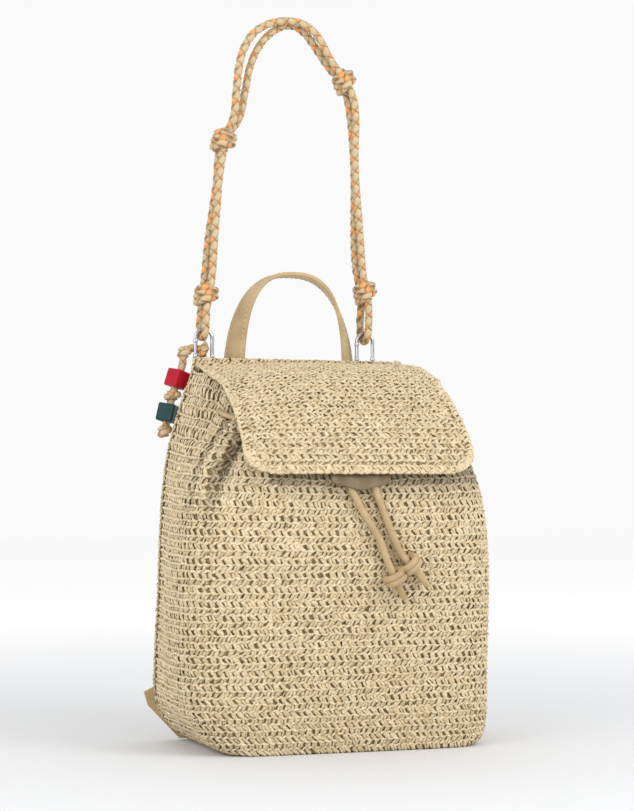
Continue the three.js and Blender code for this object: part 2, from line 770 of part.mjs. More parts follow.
function buildStrap() {
  for (const { name, ball } of strapKnots(0)) addPart(name, ball, cordColour);
  const cutters = Object.fromEntries(strapKnots(gap).map(({ name, ball }) => [name, ball]));
  for (const [name, { route, steps, between }] of Object.entries(cordRuns)) {
    const tools = between.map((knot) => cutters[knot]);
    addPart(name, cutAway(tube(route, cordDiameter, steps), ...tools), cordColour);
  }
}

function buildBeads() {
  for (const [name, { centre, along, turn, look }] of Object.entries(beads)) {
    const cube = new RoundedBoxGeometry(beadSize, beadSize, beadSize, 1, beadSize * beadRounding);
    const bore = new THREE.CylinderGeometry(beadBore / 2, beadBore / 2, 2 * beadSize, 12);
    bore.rotateX(Math.PI / 2);
    const drilled = cutAway(cube, bore);
    drilled.rotateZ(turn);
    drilled.applyQuaternion(new THREE.Quaternion().setFromUnitVectors(
      new THREE.Vector3(0, 0, 1), new THREE.Vector3(...along).normalize(),
    ));
    drilled.translate(...centre);
    addPart(name, drilled, look);
  }
}

// Outline of the leather patch at a lower back corner, where a shoulder strap ends: across as a
// share of bagHalfWidth and up as a share of bagHeight
const patchOutline = table(
  ['across', 'up'],
  [
    [1.02, 0.127],
    [0.995, 0.092],
    [0.79, 0.004],
    [0.7, 0.004],
    [0.735, 0.05],
    [0.9, 0.15],
  ],
);

function rectangle(shape, width, height) {
  shape.moveTo(-width / 2, -height / 2);
  shape.lineTo(width / 2, -height / 2);
  shape.lineTo(width / 2, height / 2);
  shape.lineTo(-width / 2, height / 2);
  shape.closePath();
}

function buildShoulderStrap(side, sign) {
  const rear = backY + strawWall + gap;
  const patch = patchOutline.map(({ across, up }) => (
    new THREE.Vector2(sign * across * bagHalfWidth, up * bagHeight)
  ));
  if (sign > 0) patch.reverse();
  addPart(`corner_patch_${side}`, uprightPlate(patch, rear, patchWall), leather);

  const footY = rear + patchWall + gap + shoulderWall / 2;
  const topY = rear + shoulderWall / 2;
  const curve = (t) => {
    const ease = t * t * (3 - 2 * t);
    const outward = (1 - shoulderEase) * t + shoulderEase * ease;
    const x = sign * (shoulderTopX + (shoulderFootX - shoulderTopX) * outward);
    const bowed = (t - shoulderLeave) / (shoulderLand - shoulderLeave);
    const swell = Math.sin(Math.PI * Math.min(1, Math.max(0, bowed))) ** 1.5;
    return new THREE.Vector3(x, topY + (footY - topY) * t + shoulderBow * swell,
      shoulderTopZ + (shoulderFootZ - shoulderTopZ) * t);
  };
  const frameAt = (t) => {
    const tangent = curve(Math.min(1, t + 0.01)).sub(curve(Math.max(0, t - 0.01))).normalize();
    const across = new THREE.Vector3(0, 1, 0).cross(tangent).normalize();
    return { centre: curve(t), across, normal: tangent.clone().cross(across), tangent };
  };
  const frames = [];
  for (let n = 0; n <= shoulderSteps; n += 1) frames.push(frameAt(n / shoulderSteps));
  addPart(`shoulder_strap_${side}`, band(frames, shoulderWidth, shoulderWall), leather);

  const slotWidth = shoulderWidth + 2 * slideRoom;
  const slotHeight = shoulderWall + 2 * slideRoom;
  const slide = new THREE.Shape();
  rectangle(slide, slideWidth, slotHeight + 2 * slideThickness);
  const slot = new THREE.Path();
  rectangle(slot, slotWidth, slotHeight);
  slide.holes.push(slot);
  const geometry = new THREE.ExtrudeGeometry(slide, { depth: slideHeight, bevelEnabled: false });
  geometry.translate(0, 0, -slideHeight / 2);
  const { centre, across, normal, tangent } = frameAt(slidePlace);
  geometry.applyMatrix4(new THREE.Matrix4().makeBasis(across, normal, tangent).setPosition(centre));
  addPart(`slide_${side}`, geometry, metal);
}

buildBody();
buildFlap();
buildClosure();
buildHandle();
buildRing('left', ringLeftX);
buildRing('right', ringRightX);
buildStrap();
buildBeads();
buildShoulderStrap('left', -1);
buildShoulderStrap('right', 1);

export default root;
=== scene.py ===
"""Woven straw backpack: crocheted body, gathered mouth and flap, leather handle, oval rings and a
raised doubled cord strap. Shapes are worked out in millimetres in the bag's own frame, standing on
z = 0 with its back at BACK_Y, and go to the frame's metres when a mesh is made."""
import math

import bpy
import numpy as np
from mathutils import Matrix, Vector


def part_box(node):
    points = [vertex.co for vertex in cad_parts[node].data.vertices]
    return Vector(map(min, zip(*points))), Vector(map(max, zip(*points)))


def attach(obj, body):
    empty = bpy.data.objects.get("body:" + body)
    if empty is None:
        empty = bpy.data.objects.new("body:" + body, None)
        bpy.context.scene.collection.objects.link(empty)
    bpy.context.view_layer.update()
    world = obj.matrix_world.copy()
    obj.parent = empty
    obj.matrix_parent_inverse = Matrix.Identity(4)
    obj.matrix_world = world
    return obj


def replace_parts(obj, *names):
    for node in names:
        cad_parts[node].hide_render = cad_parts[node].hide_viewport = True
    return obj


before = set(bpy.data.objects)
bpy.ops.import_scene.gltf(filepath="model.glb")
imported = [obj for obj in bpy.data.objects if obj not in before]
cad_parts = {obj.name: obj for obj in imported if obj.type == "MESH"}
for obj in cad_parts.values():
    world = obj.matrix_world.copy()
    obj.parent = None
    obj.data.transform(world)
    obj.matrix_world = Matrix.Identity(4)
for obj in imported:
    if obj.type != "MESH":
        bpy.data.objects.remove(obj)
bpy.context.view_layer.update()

# Sizes read from the frame, in millimetres
MM = 0.001
BACK_Y = 57.0
panel_low, panel_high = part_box("back_panel")
wrap_low, wrap_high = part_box("body_wrap")
ORIGIN = np.array([0.0, panel_low.y - BACK_Y * MM, panel_low.z])
BAG_HEIGHT = (panel_high.z - panel_low.z) / MM
BAG_HALF_WIDTH = (wrap_high.x - wrap_low.x) / 2 / MM
BAG_DEPTH = 141.0
WALL = (panel_high.y - panel_low.y) / MM
GAP = 0.3
BACKWARDS = np.array((0.0, 1.0, 0.0))
UPWARDS = np.array((0.0, 0.0, 1.0))

# Crochet
STITCH_PITCH = 6.4
ROW_PITCH = 5.4
BACKING_SINK = 2.0
BACKING_THICKNESS = 0.9
STRAW_TOP = 0.2

WRAP_STITCHES = 78
SIDE_RELIEF = 1.7
SIDE_STRAW = 0.86
FLAP_ROW_PITCH = 5.2
FLAP_TRIM = 3.0
HEM_WIDTH = 8.0
HEM_GROOVE = 1.2
HEM_GROOVE_WIDTH = 1.6
HEM_FADE = 40.0
SEAM_LIP = 1.5
SEAM_TAPER = 0.02

# Cords, beads and the drawcord round the mouth, in millimetres
CORD_DIAMETER = 6.6
BRAID_LEAF = 10.4
BRAID_SWING = 0.25
BRAID_MIDDLE = 1.45
BRAID_CROSSING = 0.9
BRAID_WIDE = 2.9
BRAID_THICK = 1.15
# Painted shade: strands are painted down to BRAID_SHADE where they dive under another
BRAID_SHADE = 0.66
BRAID_BEIGE = (0.61, 0.455, 0.255)
BRAID_ACCENT = (0.82, 0.36, 0.12)
DRAWCORD_DIAMETER = 5.6
DRAW_KNOT_SIZE = 19.5
DRAW_KNOT_HEIGHT = 13.5
RIM_START = 0.17
RIM_PLACE = 0.93
RIM_DIAMETER = 4.0
RIM_LIFT = 1.3
BEAD_SIZE = 15.0
BEAD_BORE = 8.2
BEAD_ROUND = 1.5

# Leather and metal, in millimetres
HANDLE_WIDTH = 20.0
HANDLE_THICKNESS = 3.2
HANDLE_HALF_SPAN = 51.0
HANDLE_CENTRE_X = -3.0
HANDLE_APEX_Z = 386.5
HANDLE_FOOT_Z = BAG_HEIGHT - 32
HANDLE_SQUARENESS = 2.6
HANDLE_FOOT_LENGTH = 18.0
HANDLE_LEG_TWIST = 0.7
HANDLE_PINCH = 8.0
HANDLE_TWIST_POWER = 1.3
STITCH_LENGTH = 3.0
STITCH_SPACING = 4.4
STITCH_RADIUS = 0.42
STITCH_FLATNESS = 0.8
STITCH_LIFT = 0.08
STITCH_INSET = 2.4
STITCH_RINGS = 7
STITCH_SIDES = 6
RING_WIDTH = 17.4
RING_HEIGHT = 35.0
RING_WIRE = 3.2
RING_TOP_Z = BAG_HEIGHT + 25.5
RING_LEFT_X = -80.5
RING_RIGHT_X = 61.5
RING_Y = 65.2
RING_STEPS = 96
RING_SIDES = 20
COLLAR_HEIGHTS = np.array((0, 0.3, 0.6, 2.6, 2.9, 3.2))
COLLAR_RISES = np.array((0.02, 0.25, 0.3, 0.3, 0.25, 0.02))
TAB_WIDTH = 47.0
TAB_LENGTH = 27.0
TAB_WALL = 2.4
TAB_CENTRE_X = 3.0
TAB_BOTTOM_Z = 206.0
TAB_WAVE = 1.5
TAB_ROUNDING = 6.0
TAB_FOLD = 0.7
SHOULDER_WIDTH = 22.0
SHOULDER_WALL = 3.0
SHOULDER_BOW = 27.0
SHOULDER_TOP_X = 16.0
SHOULDER_TOP_Z = BAG_HEIGHT - 22
SHOULDER_FOOT_X = 108.0
SHOULDER_FOOT_Z = 34.0
PATCH_WALL = 2.4

# Camera, fitted to the photograph: a yaw to the bag's left, a horizon above the middle of the
# picture, and a focal length in pixels of the picture
PHOTO_HEIGHT = 811
CAMERA_YAW = math.radians(18)
CAMERA_FOCAL_PIXELS = 1910.0
CAMERA_HORIZON_PIXEL = 488.0
CAMERA_POSITION = (-481.3, -1473.4, 206.0)
SENSOR = 36.0

# Studio: the floor's colours and the distances in metres between which they change, and the lights
FLOOR_SIZE = 12.0
FLOOR_ROUGHNESS = 0.9
FLOOR_NEAR = 0.2
FLOOR_FAR = 1.6
FLOOR_NEAR_COLOUR = (0.725, 0.735, 0.75, 1)
FLOOR_FAR_COLOUR = (0.985, 0.985, 0.985, 1)
WORLD_STRENGTH = 0.955
LIGHT_AIM = (0, 0, 180)
# Name, place and size in bag millimetres, and power in watts
LIGHTS = (
    ("key", (1100, -1500, 1150), 1000, 16),
    ("fill", (-1500, -900, 900), 1400, 11),
)

# Noises of the materials
NOISE_SPREAD = (0.35, 0.65)
COLOUR_DETAIL = 4
GRAIN_DETAIL = 3
LEATHER_GRAIN = (2200, 0.25, 0.0003)
PLAIN_NOISE = 90
PLAIN_DARKER = 0.9


def to_row(points):
    """Bag millimetres to the frame's metres."""
    return np.asarray(points, float) * MM + ORIGIN


def add_camera():
    data = bpy.data.cameras.new("camera")
    data.sensor_width = SENSOR
    data.lens = CAMERA_FOCAL_PIXELS / PHOTO_HEIGHT * SENSOR
    data.clip_start = 0.05
    data.clip_end = 50
    camera = bpy.data.objects.new("camera", data)
    bpy.context.scene.collection.objects.link(camera)
    pitch = math.atan((CAMERA_HORIZON_PIXEL - PHOTO_HEIGHT / 2) / CAMERA_FOCAL_PIXELS)
    level = Vector((math.sin(CAMERA_YAW), math.cos(CAMERA_YAW), 0))
    right = Vector((math.cos(CAMERA_YAW), -math.sin(CAMERA_YAW), 0))
    ahead = level * math.cos(pitch) + Vector((0, 0, math.sin(pitch)))
    up = right.cross(ahead)
    turn = Matrix((right, up, -ahead)).transposed().to_4x4()
    camera.matrix_world = Matrix.Translation(to_row(CAMERA_POSITION)) @ turn
    bpy.context.scene.camera = camera


# Materials
def new_material(name, roughness):
    """A material with its nodes, links and shader."""
    material = bpy.data.materials.new(name)
    material.use_nodes = True
    shader = material.node_tree.nodes["Principled BSDF"]
    shader.inputs["Roughness"].default_value = roughness
    return material, material.node_tree.nodes, material.node_tree.links, shader


def object_noise(nodes, links, scale, detail):
    """A noise in object space, from 0 to 1."""
    place = nodes.new("ShaderNodeTexCoord")
    noise = nodes.new("ShaderNodeTexNoise")
    noise.inputs["Scale"].default_value = scale
    noise.inputs["Detail"].default_value = detail
    links.new(place.outputs["Object"], noise.inputs["Vector"])
    return noise.outputs["Fac"]


def tinted_noise(nodes, links, scale, dark, light):
    """A colour that wanders between dark and light."""
    ramp = nodes.new("ShaderNodeValToRGB")
    for element, place, colour in zip(ramp.color_ramp.elements, NOISE_SPREAD, (dark, light)):
        element.position = place
        element.color = (*colour, 1)
    links.new(object_noise(nodes, links, scale, COLOUR_DETAIL), ramp.inputs["Fac"])
    return ramp.outputs["Color"]


def multiply_by_tone_and_painted_shade(nodes, links, colour):
    """The colour times the tone and painted shade that each stitch or strand carries."""
    tone_and_painted_shade = nodes.new("ShaderNodeAttribute")
    tone_and_painted_shade.attribute_name = "tone_and_painted_shade"
    mix = nodes.new("ShaderNodeMix")
    mix.data_type = "RGBA"
    mix.blend_type = "MULTIPLY"
    mix.inputs["Factor"].default_value = 1
    links.new(colour, mix.inputs["A"])
    links.new(tone_and_painted_shade.outputs["Color"], mix.inputs["B"])
    return mix.outputs["Result"]


def grained_material(name, roughness, scale, dark, light, grain, takes_tone_and_painted_shade=False):
    """A material whose colour wanders between dark and light on a noise of the scale. grain holds
    the scale, strength and depth of its bumps."""
    material, nodes, links, shader = new_material(name, roughness)
    colour = tinted_noise(nodes, links, scale, dark, light)
    if takes_tone_and_painted_shade:
        colour = multiply_by_tone_and_painted_shade(nodes, links, colour)
    links.new(colour, shader.inputs["Base Color"])
    grain_scale, strength, depth = grain
    bump = nodes.new("ShaderNodeBump")
    bump.inputs["Strength"].default_value = strength
    bump.inputs["Distance"].default_value = depth
    links.new(object_noise(nodes, links, grain_scale, GRAIN_DETAIL), bump.inputs["Height"])
    links.new(bump.outputs["Normal"], shader.inputs["Normal"])
    return material


def plain_material(name, colour, roughness, metallic=0.0, shine=0.5):
    material, nodes, links, shader = new_material(name, roughness)
    dark = tuple(PLAIN_DARKER * c for c in colour)
    links.new(tinted_noise(nodes, links, PLAIN_NOISE, dark, colour), shader.inputs["Base Color"])
    shader.inputs["Metallic"].default_value = metallic
    shader.inputs["Specular IOR Level"].default_value = shine
    return material


def floor_material():
    """A pale floor, a little paler away from the bag."""
    material, nodes, links, shader = new_material("floor", FLOOR_ROUGHNESS)
    place = nodes.new("ShaderNodeTexCoord")
    length = nodes.new("ShaderNodeVectorMath")
    length.operation = "LENGTH"
    blend = nodes.new("ShaderNodeMapRange")
    blend.interpolation_type = "SMOOTHSTEP"
    blend.inputs["From Min"].default_value = FLOOR_NEAR
    blend.inputs["From Max"].default_value = FLOOR_FAR
    mix = nodes.new("ShaderNodeMix")
    mix.data_type = "RGBA"
    mix.inputs["A"].default_value = FLOOR_NEAR_COLOUR
    mix.inputs["B"].default_value = FLOOR_FAR_COLOUR
    links.new(place.outputs["Object"], length.inputs[0])
    links.new(length.outputs["Value"], blend.inputs["Value"])
    links.new(blend.outputs["Result"], mix.inputs["Factor"])
    links.new(mix.outputs["Result"], shader.inputs["Base Color"])
    return material


STRAW = grained_material("straw", 0.62, 260, (0.68, 0.54, 0.345), (0.82, 0.69, 0.47),
                         (1500, 0.35, 0.0004), takes_tone_and_painted_shade=True)
# A dark lining under the crochet, seen through its holes: partly the real lining, partly painted shade,
# coloured as straw in shadow
LINING_IN_PAINTED_SHADE = grained_material("straw_shade", 0.9, 400, (0.16, 0.115, 0.05), (0.34, 0.26, 0.135),
                           (900, 0.4, 0.0005))
CORD = grained_material("braided_cord", 0.5, 300, (0.86, 0.86, 0.86), (1, 1, 1),
                        (1200, 0.12, 0.0002), takes_tone_and_painted_shade=True)
LEATHER = grained_material("tan_leather", 0.48, 60, (0.41, 0.29, 0.145), (0.51, 0.37, 0.195),
                           LEATHER_GRAIN)
# Painted shade: the tab's tan leather is painted darker, as in the shadow under the flap
TAB_LEATHER_IN_PAINTED_SHADE = grained_material("tan_leather_painted_shade", 0.48, 60, (0.13, 0.085, 0.042),
                               (0.21, 0.145, 0.075), LEATHER_GRAIN)
THREAD = plain_material("thread", (0.72, 0.58, 0.34), 0.6)
CHROME = plain_material("chrome", (0.50, 0.50, 0.52), 0.16, metallic=1.0)
RED = plain_material("red_resin", (0.42, 0.006, 0.02), 0.3, shine=0.2)
TEAL = plain_material("teal_resin", (0.006, 0.044, 0.048), 0.35, shine=0.2)


# Mesh making
class Heap:
    """Vertices and faces of one mesh, gathered from many small pieces."""

    def __init__(self):
        self.vertices = []
        self.faces = {3: [], 4: []}
        self.tones_and_painted_shades = []
        self.count = 0

    def add(self, vertices, faces, tone_and_painted_shade=(1.0, 1.0, 1.0)):
        vertices = np.asarray(vertices, float).reshape(-1, 3)
        for face_array in faces:
            face_array = np.asarray(face_array, int)
            self.faces[face_array.shape[1]].append(face_array + self.count)
        self.vertices.append(vertices)
        tone_and_painted_shade = np.asarray(tone_and_painted_shade, float)
        if tone_and_painted_shade.ndim == 1:
            tone_and_painted_shade = np.repeat(tone_and_painted_shade[None, :], len(vertices), 0)
        self.tones_and_painted_shades.append(tone_and_painted_shade)
        self.count += len(vertices)

    def build(self, name, material):
        """The mesh as a piece that rides on the body. Nothing lies below the floor."""
        points = np.concatenate(self.vertices)
        points[:, 2] = np.maximum(points[:, 2], 0)
        faces = self.faces[3] + self.faces[4]
        loops = np.concatenate([part.ravel() for part in faces]).astype(np.int32)
        sizes = np.concatenate([np.full(len(part), part.shape[1]) for part in faces])
        starts = (np.cumsum(sizes) - sizes).astype(np.int32)
        mesh = bpy.data.meshes.new(name)
        mesh.vertices.add(len(points))
        mesh.vertices.foreach_set("co", to_row(points).astype(np.float32).ravel())
        mesh.loops.add(len(loops))
        mesh.loops.foreach_set("vertex_index", loops)
        mesh.polygons.add(len(sizes))
        mesh.polygons.foreach_set("loop_start", starts)
        mesh.polygons.foreach_set("use_smooth", np.ones(len(sizes), bool))
        mesh.update(calc_edges=True)
        attribute = mesh.color_attributes.new("tone_and_painted_shade", "FLOAT_COLOR", "POINT")
        tones_and_painted_shades = np.ones((len(points), 4), np.float32)
        tones_and_painted_shades[:, :3] = np.concatenate(self.tones_and_painted_shades)
        attribute.data.foreach_set("color", tones_and_painted_shades.ravel())
        mesh.materials.append(material)
        piece = bpy.data.objects.new(name, mesh)
        bpy.context.scene.collection.objects.link(piece)
        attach(piece, "root")
        return piece


def unit(vectors):
    return vectors / np.maximum(np.linalg.norm(vectors, axis=-1, keepdims=True), 1e-9)


def curve_length(points):
    """Length along a line up to each of its points."""
    return np.concatenate([[0], np.cumsum(np.linalg.norm(np.diff(points, axis=0), axis=1))])


def swell(place, middle, width):
    """A smooth bump of height 1."""
    return np.exp(-(((place - middle) / width) ** 2))


def smooth_step(t):
    return t * t * (3 - 2 * t)


def strip_faces(count, sections, sides, closed_ends=True):
    """Faces of count tubes of the same number of sections and sides, vertices in that order."""
    tube = np.arange(count)[:, None, None] * sections * sides
    section = np.arange(sections - 1)[None, :, None] * sides
    side = np.arange(sides)[None, None, :]
    a = tube + section + side
    b = tube + section + (side + 1) % sides
    quads = np.stack([a, a + sides, b + sides, b], -1).reshape(-1, 4)
    faces = [quads]
    if closed_ends:
        start = np.arange(count)[:, None] * sections * sides
        fan = np.arange(1, sides - 1)[None, :]
        for base, near, far in ((0, fan, fan + 1), ((sections - 1) * sides, fan + 1, fan)):
            corner = start + base + 0 * fan
            faces.append(np.stack([corner, corner + near, corner + far], -1).reshape(-1, 3))
    return faces


def ribbons(heap, paths, normals, width, thickness, tone_and_painted_shade, tilt=0.0):
    """Flat ribbons with a raised middle along paths (n, m, 3), tilted about their length."""
    paths = np.asarray(paths, float)
    along = unit(np.gradient(paths, axis=1))
    flat = unit(np.cross(along, normals))
    upright = np.cross(flat, along)
    tilt = np.broadcast_to(tilt, paths.shape[:2])[..., None]
    across = flat * np.cos(tilt) + upright * np.sin(tilt)
    normals = upright * np.cos(tilt) - flat * np.sin(tilt)
    count, length = paths.shape[:2]
    half = np.broadcast_to(width, (count, length))[..., None] / 2
    rise = np.broadcast_to(thickness, (count, length))[..., None]
    section = np.stack([paths - across * half, paths + normals * rise, paths + across * half], 2)
    tone_and_painted_shade = np.broadcast_to(tone_and_painted_shade, (count, 3))
    tone_and_painted_shade = np.repeat(tone_and_painted_shade, length * 3, 0)
    heap.add(section, strip_faces(count, length, 3), tone_and_painted_shade)


# The body's sections: the same table as the solid's, shares of the same sizes
SECTION_COLUMNS = ("rise", "front_rise", "left", "right", "seam_left", "seam_right", "depth", "square")
BODY_SECTIONS = np.array([
    (0, 0, 0.7, 0.92, 0.72, 0.91, 0.81, 7),
    (0.025, 0.025, 0.79, 0.975, 0.81, 0.94, 0.83, 6),
    (0.064, 0.064, 0.88, 0.995, 0.9, 0.957, 0.85, 5.5),
    (0.12, 0.12, 0.965, 1, 0.95, 0.96, 0.872, 5),
    (0.223, 0.223, 0.996, 1, 0.95, 0.95, 0.9, 4.5),
    (0.35, 0.35, 1, 1, 0.935, 0.935, 0.943, 4.2),
    (0.478, 0.471, 0.996, 0.99, 0.926, 0.926, 0.979, 4),
    (0.589, 0.573, 0.975, 0.965, 0.914, 0.914, 1, 3.8),
    (0.685, 0.656, 0.926, 0.922, 0.895, 0.895, 1.004, 3.6),
    (0.764, 0.713, 0.848, 0.856, 0.864, 0.864, 0.986, 3.3),
    (0.834, 0.752, 0.739, 0.755, 0.817, 0.817, 0.93, 3),
    (0.898, 0.777, 0.654, 0.67, 0.77, 0.77, 0.86, 2.7),
    (0.96, 0.79, 0.6, 0.61, 0.715, 0.715, 0.79, 2.4),
])
# Gathered folds: place along the wall, share of GATHER_DEPTH at the rim, width as a share of the wall
GATHERS = (
    (0.13, 0.5, 0.03), (0.34, 0.6, 0.017), (0.42, 0.6, 0.017), (0.5, 0.5, 0.017), (0.58, 0.6, 0.017),
    (0.66, 0.6, 0.017), (0.738, 0.8, 0.02), (0.85, 0.5, 0.035),
)
GATHER_DEPTH = 10.0
# Two deep pleats at the front left with a ridge between them: place along the wall, depth in mm,
# width as a share of the wall, and lean, the share of the wall that the fold moves by over its height
PLEATS = ((0.213, 10.0, 0.016, 0.0), (0.247, -4.0, 0.015, 0.06), (0.279, 10.0, 0.014, 0.12))
PLEAT_START = 0.52
PLEAT_FULL = 0.74
# Painted shade in the straw's colour: the pleats' valleys are painted darker by up to PLEAT_SHADE, and the
# wall under the flap gets a painted shadow of up to FLAP_SHADE, fading out over FLAP_SHADE_REACH mm below
# the flap's front edge
PLEAT_SHADE = 0.62
FLAP_SHADE = 0.55
FLAP_SHADE_REACH = 12.0
# Painted shade: the flap's straw, which faces up into the key light, is painted a little darker all over
FLAP_PAINTED_SHADE = 0.94
# The rim stands a little higher at both sides, where the flap bows over it
RUFFLE_START = 0.8
RUFFLE_PLACES = (0.065, 0.14, 0.86, 0.935)
RUFFLE_WIDTH = 0.05
RUFFLE_RISE = 8.5
GATHER_POWER = 1.3
CORNER_SHARE = 0.42
MOUTH_SLOPE = 0.75
GATHER_START = 0.6

FLAP_COLUMNS = ("reach", "fall", "left", "right", "droop")
FLAP_SECTIONS = np.array([
    (0, 0, 0.975, 0.975, 0.01),
    (0.2, -0.004, 0.975, 0.985, 0.115),
    (0.42, 0.065, 0.975, 1, 0.13),
    (0.58, 0.185, 0.98, 1.02, 0.12),
    (0.737, 0.385, 0.985, 1.05, 0.08),
    (0.87, 0.605, 0.99, 1.075, 0.045),
    (0.96, 0.815, 1, 1.085, 0.01),
    (1, 1, 1, 1.085, 0),
])
FLAP_HALF_WIDTH = 90.0
FLAP_REACH = 153.0
FLAP_BACK_DROP = 5.0
FLAP_DROP = 91.0
FLAP_CORNER = 19.0
FLAP_SAG_POWER = 2.4
FLAP_SPREAD = 1.09
BORDER_PITCH = 0.85
BACKING_FRONT_INSET = 1.2
BACKING_SIDE_INSET = 1.5
ROLL_ROOM = 0.1
ROLL_RELIEF = 0.35
ROLL_BEHIND = 4.5


def blend_rows(table, names, column, place):
    """Value of a table's column at a place between its rows, on a smooth curve."""
    values = table[:, names.index(column)]
    last = len(values) - 1
    i = np.clip(np.floor(place).astype(int), 0, last - 1)
    t = place - i
    a, b, c, d = (values[np.clip(i + n, 0, last)] for n in (-1, 0, 1, 2))
    cubic = 2 * b + (c - a) * t + (2 * a - 5 * b + 4 * c - d) * t**2
    return (cubic + (3 * b - a - 3 * c + d) * t**3) / 2


def body_share(column, place):
    return blend_rows(BODY_SECTIONS, SECTION_COLUMNS, column, np.asarray(place, float))


def flap_share(column, place):
    return blend_rows(FLAP_SECTIONS, FLAP_COLUMNS, column, place)


def body_outline(k):
    """A section of the body from the back left seam round to the back right one."""
    front = BACK_Y - body_share("depth", k) * BAG_DEPTH
    corner_y = front + CORNER_SHARE * (BACK_Y - front)
    power = 2 / body_share("square", k)

    def half(sign, side, seam):
        side, seam = (sign * body_share(column, k) * BAG_HALF_WIDTH for column in (side, seam))
        t = np.linspace(0, 1, 25)
        x = seam + (side - seam) * smooth_step(t)
        wall = np.stack([x, BACK_Y - GAP + (corner_y - BACK_Y + GAP) * t], 1)
        angle = np.linspace(0, math.pi / 2, 97)[1:]
        x = side * np.maximum(np.cos(angle), 0) ** power
        y = corner_y + (front - corner_y) * np.sin(angle) ** power
        return np.concatenate([wall, np.stack([x, y], 1)])

    left = half(-1, "left", "seam_left")
    right = half(1, "right", "seam_right")
    return np.concatenate([left, right[::-1][1:]])


def wall_line(k, u):
    """x, y and the direction at shares u along the wall's section k."""
    line = body_outline(k)
    length = curve_length(line)
    x, y = (np.interp(u * length[-1], length, line[:, axis]) for axis in (0, 1))
    return x, y, unit(np.stack([np.gradient(x), np.gradient(y)], 1))


def wall_height(k, u):
    """Heights at shares u along the wall's section k, which falls towards the front."""
    side = (1 - np.abs(2 * u - 1)) ** MOUTH_SLOPE
    rise, front_rise = (body_share(column, k) for column in ("rise", "front_rise"))
    return BAG_HEIGHT * (rise + (front_rise - rise) * side)


def pleat_valleys(u, v):
    """Depth in mm of the two pleats at u along the wall and v up it."""
    full = smooth_step(np.clip((v - PLEAT_START) / (PLEAT_FULL - PLEAT_START), 0, 1))
    return sum(depth * full * swell(u, place + lean * (v - PLEAT_FULL), width)
               for place, depth, width, lean in PLEATS)


def body_points(u, v):
    """Points of the body's outer surface on the grid of u by v."""
    rows = []
    for value in v:
        k = value * (len(BODY_SECTIONS) - 1)
        x, y, ahead = wall_line(k, u)
        pull = GATHER_DEPTH * max(0.0, (value - GATHER_START) / (1 - GATHER_START)) ** GATHER_POWER
        dent = sum(depth * pull * swell(u, place, width) for place, depth, width in GATHERS)
        dent = dent + pleat_valleys(u, value)
        ruffle = max(0.0, (value - RUFFLE_START) / (1 - RUFFLE_START))
        spread = sum(swell(u, place, RUFFLE_WIDTH) for place in RUFFLE_PLACES)
        z = wall_height(k, u) + RUFFLE_RISE * ruffle * spread
        rows.append(np.stack([x - ahead[:, 1] * dent, y + ahead[:, 0] * dent, z], 1))
    return np.stack(rows, 1)


def flap_profile(k):
    reach = flap_share("reach", k) * FLAP_REACH
    fall = flap_share("fall", k) * FLAP_DROP
    return np.stack([BACK_Y - GAP - reach, BAG_HEIGHT - FLAP_BACK_DROP - fall], -1)


FLAP_K = np.linspace(0, len(FLAP_SECTIONS) - 1, 281)
FLAP_LENGTHS = curve_length(flap_profile(FLAP_K))
FLAP_LENGTH = FLAP_LENGTHS[-1]


def flap_edges(length):
    """x of the flap's left and right edges at a length from its back."""
    k = np.interp(length, FLAP_LENGTHS, FLAP_K)
    rest = np.clip(FLAP_CORNER - (FLAP_LENGTH - length), 0, FLAP_CORNER)
    narrowing = FLAP_CORNER - np.sqrt(np.maximum(FLAP_CORNER**2 - rest**2, 0))
    left, right = (flap_share(side, k) * FLAP_HALF_WIDTH - narrowing for side in ("left", "right"))
    return -left, right


def flap_point(x, length):
    """Points of the flap's upper surface at x and a length from its back."""
    k = np.interp(length, FLAP_LENGTHS, FLAP_K)
    profile = flap_profile(k)
    droop = flap_share("droop", k) * FLAP_DROP
    left = flap_share("left", k) * FLAP_HALF_WIDTH
    sag = droop * np.maximum(-x / left, 0) ** FLAP_SAG_POWER
    return np.stack([x, profile[..., 0], profile[..., 1] - sag], -1)


class Surface:
    """A smooth surface over u, v in 0..1 with normals, sampled on a fine grid."""

    def __init__(self, points):
        self.points = points
        across = np.gradient(points, axis=0)
        along = np.gradient(points, axis=1)
        self.normals = unit(np.cross(across, along))

    def turned(self, spot, direction):
        """The surface, with its normals turned so that the one at the spot looks along direction."""
        if np.dot(self.normals[spot], direction) < 0:
            self.normals = -self.normals
        return self

    def at(self, u, v, lift=0.0):
        """Positions and normals at u, v, raised by lift."""
        nu, nv = (n - 1 for n in self.points.shape[:2])
        x = np.clip(u, 0, 1) * nu
        y = np.clip(v, 0, 1) * nv
        i = np.minimum(x.astype(int), nu - 1)
        j = np.minimum(y.astype(int), nv - 1)
        s = (x - i)[..., None]
        t = (y - j)[..., None]

        def mix(grid):
            low = grid[i, j] * (1 - s) + grid[i + 1, j] * s
            high = grid[i, j + 1] * (1 - s) + grid[i + 1, j + 1] * s
            return low * (1 - t) + high * t

        normal = unit(mix(self.normals))
        return mix(self.points) + normal * np.asarray(lift)[..., None], normal


